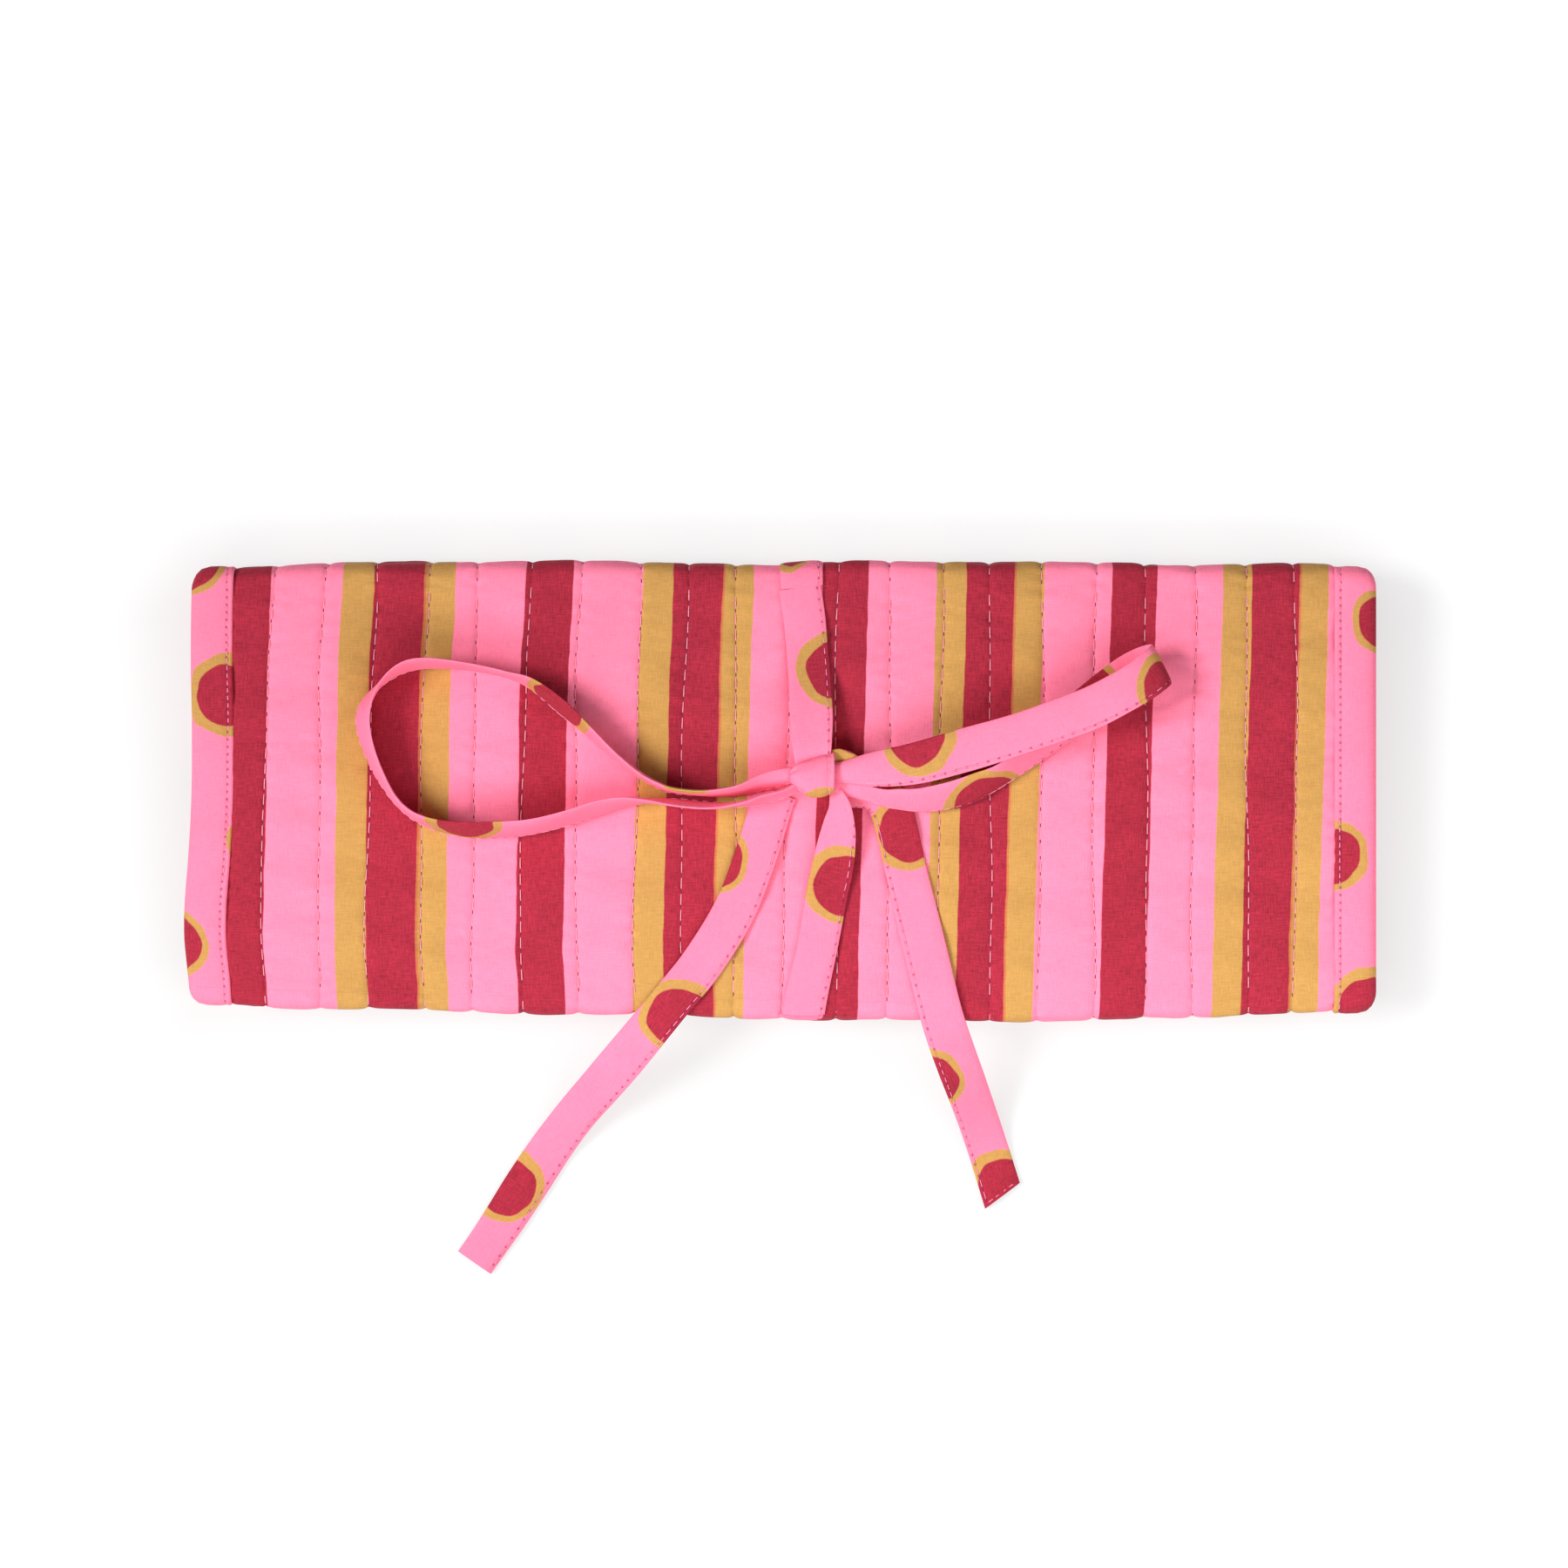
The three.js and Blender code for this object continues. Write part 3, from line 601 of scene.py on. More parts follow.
@dataclass(frozen=True)
class Thread:
    """Twisted sewing thread."""

    name: str
    tint: Color = PALETTE.topstitch

    def make(self) -> Material:
        """Makes the material: the twist is a slanting noise along the thread.

        Returns:
            The material.
        """
        graph = Graph(self.name)
        twist = graph.noise((0.25, 0.6), 1.0, shear=2.0)
        color = graph.shade(self.tint, twist * 0.25 + 1.0)
        return graph.surface(twist, 0.03, Base_Color=color, Roughness=0.7, Specular_IOR_Level=0.3)


# Geometry


def linked(name: str, data: bpy.types.ID) -> Piece:
    """Puts a mesh, a camera or a lamp into the scene.

    Args:
        name: its name.
        data: its data.

    Returns:
        Its object.
    """
    piece = bpy.data.objects.new(name, data)
    bpy.context.scene.collection.objects.link(piece)
    return piece


class Patchwork:
    """Gathers parametric grids into one mesh with the map that the cotton is printed by."""

    # The four edges of a grid, and whether the strip down from each is turned over.
    EDGES = ((np.s_[0], True), (np.s_[-1], False), (np.s_[:, 0], False), (np.s_[:, -1], True))

    def __init__(self) -> None:
        """Starts with nothing."""
        self.points: list[Array] = []
        self.maps: list[Array] = []
        self.quads: list[Array] = []
        self.slots: list[Array] = []
        self.total = 0

    def add(
        self, points: Array, uv: Array, slot: int = 0, ring: bool = False, flip: bool = False
    ) -> "Patchwork":
        """Adds grids.

        Args:
            points: one grid of rows by columns by 3, or a stack of such grids, in millimetres.
            uv: the cloth's coordinates at those points, in millimetres.
            slot: the material's index.
            ring: whether the last column joins the first.
            flip: whether the faces are turned over.

        Returns:
            This patchwork.
        """
        stack = points if points.ndim == 4 else points[None]
        count, rows, cols = stack.shape[:3]
        index = np.arange(count * rows * cols).reshape(count, rows, cols) + self.total
        left = index if ring else index[:, :, :-1]
        right = np.roll(index, -1, axis=2) if ring else index[:, :, 1:]
        corners = [left[:, :-1], right[:, :-1], right[:, 1:], left[:, 1:]]
        quads = np.stack(corners[::-1] if flip else corners, axis=-1).reshape(-1, 4)
        self.points.append(stack.reshape(-1, 3))
        self.maps.append(np.broadcast_to(uv, (*points.shape[:-1], 2)).reshape(-1, 2))
        self.quads.append(quads)
        self.slots.append(np.full(len(quads), slot))
        self.total += count * rows * cols
        return self

    def join(self, first: Array, second: Array, uv: Array, **options: int | bool) -> "Patchwork":
        """Adds the strip between two lines of points with one map; the options are those of add."""
        return self.add(np.stack([first, second]), np.stack([uv] * 2), **options)

    def shut(self, top: Array, bottom: Array, uv: Array, slot: int = 0, flip: bool = False) -> "Patchwork":
        """Closes the four sides between two grids.

        Args:
            top: the upper grid, rows towards +Y and columns towards +X.
            bottom: the lower grid, of the same size.
            uv: the map of both.
            slot: the material's index.
            flip: whether the faces are turned over.

        Returns:
            This patchwork.
        """
        for edge, turned in self.EDGES:
            self.join(top[edge], bottom[edge], uv[edge], slot=slot, flip=turned != flip)
        return self

    def build(self, name: str, *finishes: Material) -> Piece:
        """Makes the mesh object, smooth within each grid and sharp between them.

        Args:
            name: the piece's name.
            finishes: its materials, by index.

        Returns:
            The piece.
        """
        points = np.concatenate(self.points) * MM
        quads = np.concatenate(self.quads)
        mesh = bpy.data.meshes.new(name)
        mesh.vertices.add(len(points))
        mesh.vertices.foreach_set("co", points.ravel().astype(np.float32))
        mesh.loops.add(quads.size)
        mesh.loops.foreach_set("vertex_index", quads.ravel().astype(np.int32))
        mesh.polygons.add(len(quads))
        mesh.polygons.foreach_set("loop_start", np.arange(0, quads.size, 4, dtype=np.int32))
        mesh.polygons.foreach_set("material_index", np.concatenate(self.slots).astype(np.int32))
        cloth = mesh.uv_layers.new(name="cloth")
        laid = np.concatenate(self.maps)[quads.ravel()] * MM
        cloth.data.foreach_set("uv", laid.ravel().astype(np.float32))
        for finish in finishes:
            mesh.materials.append(finish)
        mesh.update(calc_edges=True)
        mesh.validate()
        mesh.shade_smooth()
        return linked(name, mesh)


def settle(piece: Piece, body: str, slot: Slot, *nodes: str) -> None:
    """Lets a piece ride on a body and stand for CAD nodes.

    Args:
        piece: the piece.
        body: the body that it rides on.
        slot: its material slot; not used.
        nodes: the CAD nodes that it replaces.
    """
    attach(piece, body)
    if nodes:
        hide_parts(*nodes)
    LOG.info("%s rides on %s", piece.name, body)


@dataclass(frozen=True)
class StitchRow:
    """Stitches that lie along a line on a surface: each is a thin thread that dips in at both ends."""

    radius: float
    dip: float
    lift: float
    sides: int = 6
    shares: tuple[float, ...] = (0.0, 0.14, 0.5, 0.86, 1.0)
    girths: tuple[float, ...] = (0.55, 0.95, 1.0, 0.95, 0.55)
    laid: tuple[float, ...] = (0.0, 0.4, 1.4, 2.4, 2.8)
    laid_step: float = 3.0

    def build(self, name: str, finish: Material, starts: Array, ends: Array, normals: Array) -> Piece:
        """Makes all the stitches of a line as one piece, by a small ring that is swept along each.

        Args:
            name: the piece's name.
            finish: the thread's material.
            starts: where the stitches start, one row each.
            ends: where they end.
            normals: the surface's outward normals there.

        Returns:
            The piece.
        """
        share = np.array(self.shares)
        rise = np.array([-self.dip, self.lift, self.lift * 1.35, self.lift, -self.dip])
        girth = np.array(self.girths) * self.radius
        along = ends - starts
        ahead = unit(along)
        side = unit(np.cross(ahead, normals))
        up = np.cross(side, ahead)
        line = starts[:, None] + along[:, None] * share[:, None] + up[:, None] * rise[:, None]
        angle = around(self.sides)[:, None]
        ring = side[:, None, None] * np.cos(angle) + up[:, None, None] * np.sin(angle)
        grids = line[:, :, None] + ring * girth[:, None, None]
        count = np.arange(len(grids))[:, None, None]
        uv = spread(np.arange(self.sides) * 0.1, np.array(self.laid)[:, None] + count * self.laid_step)
        return Patchwork().add(grids, uv, ring=True).build(name, finish)


# The folded wall


@dataclass(frozen=True)
class WallSizes:
    """The folded wall's sizes, as in the CAD model."""

    half_length: float = 135.0
    back: float = 51.0
    front: float = -51.0
    height: float = 20.0
    base_front: float = -50.0
    hinge: float = 46.0
    corner: float = 4.0
    fold_center: float = -47.25
    fold_radius: float = 3.75
    flap_edge: float = -7.25
    thick: float = 3.6
    binding: float = 9.7


SIZES = WallSizes()
HALF_CORNER = 12


@dataclass(frozen=True)
class Slouch:
    """How the soft roll lies: its long edges bow, its corners are round and its left end leans."""

    back_bow: float = 0.8
    back_droop: float = 1.9
    tie_dent: float = 1.0
    front_bow: float = -0.6
    front_tilt: float = 0.95
    front_droop: float = 2.2
    front_belly: float = 1.1
    corner_start: float = 131.2
    corner_length: float = 4.2
    corner_depth: float = 3.2
    corner_skew: float = 0.5
    lean: float = 0.02
    left_bulge: float = 0.85
    left_belly: float = 0.7
    left_turn: float = 0.8
    left_back: float = 1.4
    left_middle: float = 0.4

    def edges(self, x: Array, y: Array) -> Array:
        """Gives how far the two long edges, and all between them, move along y.

        Args:
            x: along the roll.
            y: across it.

        Returns:
            The move.
        """
        share = x / SIZES.half_length
        back = self.back_bow - self.back_droop * share**4 - self.tie_dent * bell(x, -2.0, 10.0)
        front = self.front_bow - self.front_tilt * share + self.front_droop * share**2
        front = front - self.front_belly * bell(share, 0.45, 0.3)
        depth = np.clip((y - SIZES.front) / (SIZES.back - SIZES.front), 0.0, 1.0)
        return front * (1.0 - depth) + back * depth

    def trim(self, x: Array, y: Array) -> Array:
        """Gives how far the corners draw in along y: a flat quarter ellipse.

        Args:
            x: along the roll.
            y: across it.

        Returns:
            The depth.
        """
        over = np.clip((np.abs(x) - self.corner_start) / self.corner_length, 0.0, 1.0)
        depth = self.corner_depth - self.corner_skew * np.sign(x * y)
        return depth * (1.0 - np.sqrt(1.0 - over**2 * 0.96)) * smooth(np.abs(y), 44.0, 51.0)

    def ends(self, x: Array, y: Array) -> Array:
        """Gives how far the left end leans, bulges and turns along x.

        Args:
            x: along the roll.
            y: across it.

        Returns:
            The move.
        """
        middle = smooth(-y, -48.0, -22.0) * smooth(y, -50.0, -34.0)
        bulge = self.left_bulge * middle * smooth(-x, -20.0, 60.0)
        bulge = bulge + self.left_belly * bell(y, -31.0, 12.0) * smooth(-x, 105.0, 125.0)
        turn = self.left_turn - self.left_back * smooth(y, 15.0, 48.0)
        turn = turn + self.left_middle * bell(y, 0.0, 15.0)
        lean = self.lean * y * (0.5 - x / SIZES.half_length / 2.0)
        return lean - bulge + turn * smooth(-x, 115.0, 125.0)

    def lay(self, points: Array) -> Array:
        """Moves points of the straight roll to where the soft one lies.

        Args:
            points: any array whose last axis is x, y, z in millimetres.

        Returns:
            The moved points.
        """
        x, y, z = np.moveaxis(points, -1, 0)
        moved_y = y + self.edges(x, y) - np.sign(y) * self.trim(x, y)
        return spread(x + self.ends(x, y), moved_y, z)


SLOUCH = Slouch()


@dataclass
class Stretch:
    """One stretch of the folded wall, by the length along its outside.

    It is solid where the CAD model has solids for it.
    """

    name: str
    body: str
    outer: Array
    inner: Array
    solid: bool = True
    start: float = 0.0
    length: Array = field(init=False)
    normal: Array = field(init=False)

    def __post_init__(self) -> None:
        """Measures the outside line and finds its normals."""
        self.length = lengths(self.outer)
        ahead = unit(np.gradient(self.outer, self.length, axis=0))
        self.normal = np.stack([ahead[:, 1], -ahead[:, 0]], axis=1)

    @property
    def total(self) -> float:
        """The stretch's length."""
        return float(self.length[-1])

    def place(self, x: Array, s: Array, lift: Array) -> Array:
        """Places points on the wall.

        Args:
            x: along the roll.
            s: along the stretch, from its start.
            lift: out of the outside when above 0, and into the wall when below it.

        Returns:
            The points, laid the way the roll lies.
        """
        x, s, lift = np.broadcast_arrays(x, s, lift)

        def pick(column: Array) -> Array:
            """Reads a column of the line at each s."""
            return np.interp(s, self.length, column)

        out = np.maximum(lift, 0.0)
        depth = np.maximum(-lift, 0.0) / SIZES.thick
        y, z = (
            pick(outer) * (1.0 - depth) + pick(inner) * depth + pick(normal) * out
            for outer, inner, normal in zip(self.outer.T, self.inner.T, self.normal.T)
        )
        return SLOUCH.lay(spread(x, y, z))


def on_table(points: Array) -> Array:
    """Flattens what would reach below the table that the roll lies on."""
    return np.concatenate([points[..., :2], np.maximum(points[..., 2:], 0.0)], axis=-1)


def corner(center: Pair, radius: float, begin: float, end: float, power: float) -> Array:
    """Rounds a corner with a part of a superellipse.

    Args:
        center: its middle.
        radius: its radius.
        begin: the angle at which it begins.
        end: the angle at which it ends.
        power: its power; 2 gives a circle.

    Returns:
        The points along it.
    """
    angle = np.linspace(begin, end, 2 * HALF_CORNER + 1)
    sides = [blunt(wave(angle), 2.0 / power) for wave in (np.cos, np.sin)]
    return np.array(center) + radius * np.stack(sides, axis=1)


@dataclass
class Wall:
    """The wall's six stretches, from the base's free edge round both folds to the flap's free edge.

    The front fold is two stretches, because half of it turns with the flap, into the wall's thickness.
    """

    square: float = 2.5

    def __post_init__(self) -> None:
        """Lays out the stretches one after another."""
        s, quarter = SIZES, math.pi / 2.0
        thick = s.thick
        middle = (s.fold_center, s.height - s.fold_radius)
        spine, ring = [], []
        for inset, power in ((0.0, self.square), (thick, 2.0)):
            radius = s.corner - inset
            low = corner((s.back - s.corner, s.corner), radius, -quarter, 0.0, power)
            high = corner((s.back - s.corner, s.height - s.corner), radius, 0.0, quarter, power)
            spine.append(np.concatenate([[[s.hinge, inset]], low, high, [[s.hinge, s.height - inset]]]))
            ring.append(corner(middle, s.fold_radius - inset, quarter, 3.0 * quarter, power))
        flap = s.height - 2.0 * s.fold_radius

        def flat(begin: float, end: float, level: float, inside: float) -> tuple[Array, Array]:
            """A flat stretch's outside and inside line."""
            y = np.linspace(begin, end, 9)
            return np.stack([y, np.full(9, level)], axis=1), np.stack([y, np.full(9, inside)], axis=1)

        self.stretches = (
            Stretch("base", "base", *flat(s.base_front, s.hinge, 0.0, thick)),
            Stretch("spine", "spine", *spine),
            Stretch("face", "face", *flat(s.hinge, s.fold_center, s.height, s.height - thick)),
            Stretch("front_fold", "face", *(line[: HALF_CORNER + 1] for line in ring)),
            Stretch("flap_fold", "flap", *(line[HALF_CORNER:] for line in ring), solid=False),
            Stretch("flap", "flap", *flat(s.fold_center, s.flap_edge, flap, flap + thick)),
        )
        at = 0.0
        for stretch in self.stretches:
            stretch.start = at
            at += stretch.total

    def __getitem__(self, name: str) -> Stretch:
        """Finds a stretch by name."""
        return next(stretch for stretch in self.stretches if stretch.name == name)


@dataclass
class Quilting:
    """The quilting: lines of stitches across the wall and the padding that swells between them."""

    period: float = 3.6
    edge: float = 125.6
    lines: tuple[float, ...] = (
        -116.9, -104.7, -93.3, -81.1, -69.7, -58.2, -46.3, -32.9, -22.2, -10.7, 0.8,
        12.1, 24.0, 35.8, 47.1, 58.6, 70.8, 82.4, 93.3, 105.6, 116.4,
    )
    swell: Ripple = Ripple(3, 46.0)
    dimple: Ripple = Ripple(5, 12.0)
    crease: Ripple = Ripple(9, 5.0)
    fold: Ripple = Ripple(13, 15.0)
    dome_height: float = 0.16
    dome_fall: float = 0.2
    dome_edge: float = 0.42
    pucker_height: float = 0.2
    gather_height: float = 0.21
    gather_length: float = 4.6
    swell_height: float = 0.24
    dimple_height: float = 0.08
    fold_height: float = 0.32

    def line(self, index: Array, s: Array) -> Array:
        """Gives where a line runs: its place, wavering a little.

        Args:
            index: the line's index.
            s: along the wall.

        Returns:
            Its place along the roll.
        """
        ends = np.array([-self.edge, *self.lines, self.edge])
        inside = (index > 0) & (index < len(ends) - 1)
        waver = 0.42 * np.sin(s / 21.0 + index * 2.4) + 0.2 * np.sin(s / 7.3 + index * 5.1)
        return ends[index] + np.where(inside, waver, 0.0)

    def phase(self, index: Array) -> Array:
        """Gives where a line's first stitch starts."""
        return np.mod(np.asarray(index) * 1.37, self.period)

    def columns(self, each: int) -> tuple[Array, Array]:
        """Spaces a grid's columns, closer together at the lines.

        Args:
            each: how many columns a channel has.

        Returns:
            Each column's channel and its share of the way across it.
        """
        share = 0.5 - 0.5 * np.cos(np.pi * np.arange(each) / each)
        count = len(self.lines) + 1
        channel = np.append(np.repeat(np.arange(count), each), count - 1)
        return channel, np.append(np.tile(share, count), 1.0)

    def across(self, channel: Array, share: Array, s: Array) -> Array:
        """Gives x at a share of the way across a channel."""
        low, high = self.line(channel, s), self.line(channel + 1, s)
        return low + (high - low) * share

    def height(self, channel: Array, share: Array, s: Array, x: Array) -> Array:
        """Gives how far the padding stands out: domes between lines, puckers beside them, and creases.

        Args:
            channel: the channel's index.
            share: how far across it.
            s: along the wall.
            x: along the roll.

        Returns:
            The height over the plain wall.
        """
        off = np.abs(2.0 * share - 1.0)
        width = self.line(channel + 1, s) - self.line(channel, s)
        near = np.minimum(share, 1.0 - share) * width
        line = np.where(share < 0.5, channel, channel + 1)
        beat = np.cos(2.0 * np.pi * (s - self.phase(line)) / self.period)
        dome = self.dome_height - self.dome_fall * off**2 - self.dome_edge * off**8
        pucker = self.pucker_height * np.exp(-near / 1.3) * beat * (0.6 + 0.4 * self.dimple(x, s))
        slip = 2.0 * self.crease(x * 0.3, s * 0.3) + line * 1.9
        gather = np.exp(-near / 3.2) * np.sin(2.0 * np.pi * s / self.gather_length + slip)
        quilt = dome + pucker + self.gather_height * gather * (1.0 - off**6)
        slack = self.swell_height * self.swell(x, s) + self.dimple_height * self.dimple(x, s * 0.6)
        return quilt + slack + self.fold_height * self.fold(x * 0.22, s)


@dataclass
class Cover:
    """The quilted wall: six padded stretches of striped print, their linings and the quilting thread."""

    ROWS = {"base": 64, "spine": 40, "face": 124, "front_fold": 13, "flap_fold": 13, "flap": 40}

    wall: Wall
    quilting: Quilting
    back: float = -2.7
    inset: float = 1.6
    tuck: float = 0.16
    press: float = 0.45
    table_gap: float = 0.12
    fine: int = 18
    coarse: int = 6

    def __post_init__(self) -> None:
        """Makes the finishes."""
        self.print = StripedCotton("striped_cotton", lean_from=self.wall["face"].start + 5.2).make()
        self.lining = SpottedLining("spotted_lining").make()
        self.thread = Thread("quilting_thread", PALETTE.thread).make()
        # The needle holes' material is dark: painted shade of the hollows between the stitches.
        self.hole = Thread("needle_hole_shade", PALETTE.hole).make()

    def build(self) -> None:
        """Makes every stretch."""
        for stretch in self.wall.stretches:
            self.pad(stretch)
            self.line_inside(stretch)
            self.stitch(stretch)

    def finish(self, piece: Piece, stretch: Stretch, slot: Slot, *nodes: str) -> None:
        """Settles a stretch's piece, and gives it a mesh of its own where the stretch is the spine.

        Args:
            piece: the piece.
            stretch: the stretch that it belongs to.
            slot: its material slot.
            nodes: the CAD nodes that it replaces, where the stretch has solids.
        """
        settle(piece, stretch.body, slot, *(nodes if stretch.solid else ()))
        if stretch.name == "spine":
            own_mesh(piece)

    def rows(self, stretch: Stretch, count: int) -> Array:
        """Spaces the rows of a stretch's grid, which stop inside the binding at a free edge.

        Args:
            stretch: the stretch.
            count: how many steps there are.

        Returns:
            The rows' places along the stretch, as a column.
        """
        begin = self.inset if stretch.name == "base" else 0.0
        end = self.inset if stretch.name == "flap" else 0.0
        return np.linspace(begin, stretch.total - end, count + 1)[:, None]

    def tucked(self, stretch: Stretch, s: Array) -> Array:
        """Draws the deep side of the front fold's halves back from where they meet.

        Args:
            stretch: the stretch.
            s: along it.

        Returns:
            The places of its deep side, which make the ends of those halves slant.
        """
        if stretch.name == "front_fold":
            return s * (1.0 - self.tuck)
        if stretch.name == "flap_fold":
            return s + (stretch.total - s) * self.tuck
        return s

    def pressed(self, stretch: Stretch, height: Array) -> Array:
        """Presses the base's underside flat, where it lies on the table."""
        flat = np.minimum(height - self.press, -self.table_gap)
        return flat if stretch.name == "base" else height

    def pad(self, stretch: Stretch) -> None:
        """Makes a padded stretch: the swollen print, with rims and a flat back in the lining's cloth.

        Args:
            stretch: the stretch.
        """
        channel, share = self.quilting.columns(self.fine)
        s = self.rows(stretch, self.ROWS[stretch.name])
        run = s + stretch.start
        x = self.quilting.across(channel, share, run)
        height = self.pressed(stretch, self.quilting.height(channel, share, run, x))
        uv = spread(x, run)
        front = on_table(stretch.place(x, s, height))
        back = stretch.place(x, self.tucked(stretch, s), self.back)
        quilt = Patchwork().add(front, uv, flip=True)
        quilt.add(back[:, :: self.coarse], uv[:, :: self.coarse], slot=1)
        quilt.shut(front, back, uv, slot=1, flip=True)
        piece = quilt.build(f"{stretch.name}_quilt", self.print, self.lining)
        self.finish(piece, stretch, Slot.PRINT, f"{stretch.name}_print", f"{stretch.name}_wadding")

    def line_inside(self, stretch: Stretch) -> None:
        """Makes the lining of a stretch: a thin sheet that the quilting draws in from behind.

        Args:
            stretch: the stretch.
        """
        channel, share = self.quilting.columns(self.coarse)
        s = self.rows(stretch, max(8, self.ROWS[stretch.name] // 2))
        run = s + stretch.start
        x = self.quilting.across(channel, share, run)
        off = np.abs(2.0 * share - 1.0)
        uv = spread(x, run)
        s = self.tucked(stretch, s)
        inside = stretch.place(x, s, -SIZES.thick + 0.3 * off**4)
        outside = stretch.place(x, s, self.back)
        sheet = Patchwork().add(inside, uv).shut(inside, outside, uv)
        piece = sheet.build(f"{stretch.name}_lining_cloth", self.lining)
        self.finish(piece, stretch, Slot.LINING, f"{stretch.name}_lining")

    def stitch(self, stretch: Stretch) -> None:
        """Makes the quilting thread of a stretch and the small dark needle holes between its stitches, whose
        dark colour is painted shade of the hollows where the thread dives in.

        Args:
            stretch: the stretch.
        """
        quilting, period = self.quilting, self.quilting.period
        begins, index = [], []
        for line in range(1, len(quilting.lines) + 1):
            phase = quilting.phase(line)
            first = phase + math.ceil((stretch.start - phase) / period) * period
            run = np.arange(first, stretch.start + stretch.total - period, period)
            begins.append(run)
            index.append(np.full(len(run), line))
        run, line = np.concatenate(begins), np.concatenate(index)
        if not len(run):
            return

        def spot(at: Array) -> Array:
            """Finds the surface on each stitch's line.

            Args:
                at: the length along the line.

            Returns:
                The points.
            """
            x = quilting.line(line, at)
            height = self.pressed(stretch, quilting.height(line, np.zeros(len(at)), at, x))
            return stretch.place(x, at - stretch.start, height)

        def outward(at: Array) -> Array:
            """The wall's outward normal there."""
            x, s = quilting.line(line, at), at - stretch.start
            return stretch.place(x, s, 1.0) - stretch.place(x, s, 0.0)

        # The needle holes are dark pieces between the stitches: painted shade of those hollows.
        for name, row, begin, end, finish in (
            ("stitches", StitchRow(0.125, 0.12, 0.09), 0.35, 3.05, self.thread),
            ("needle_hole_shade", StitchRow(0.16, 0.08, 0.0), 3.05, 3.95, self.hole),
        ):
            middle = run + (begin + end) / 2.0
            keep = run + end < stretch.start + stretch.total
            if not keep.any():
                continue
            parts = [spot(run + begin)[keep], spot(run + end)[keep], outward(middle)[keep]]
            piece = row.build(f"{stretch.name}_quilting_{name}", finish, *parts)
            self.finish(piece, stretch, Slot.PRINT)


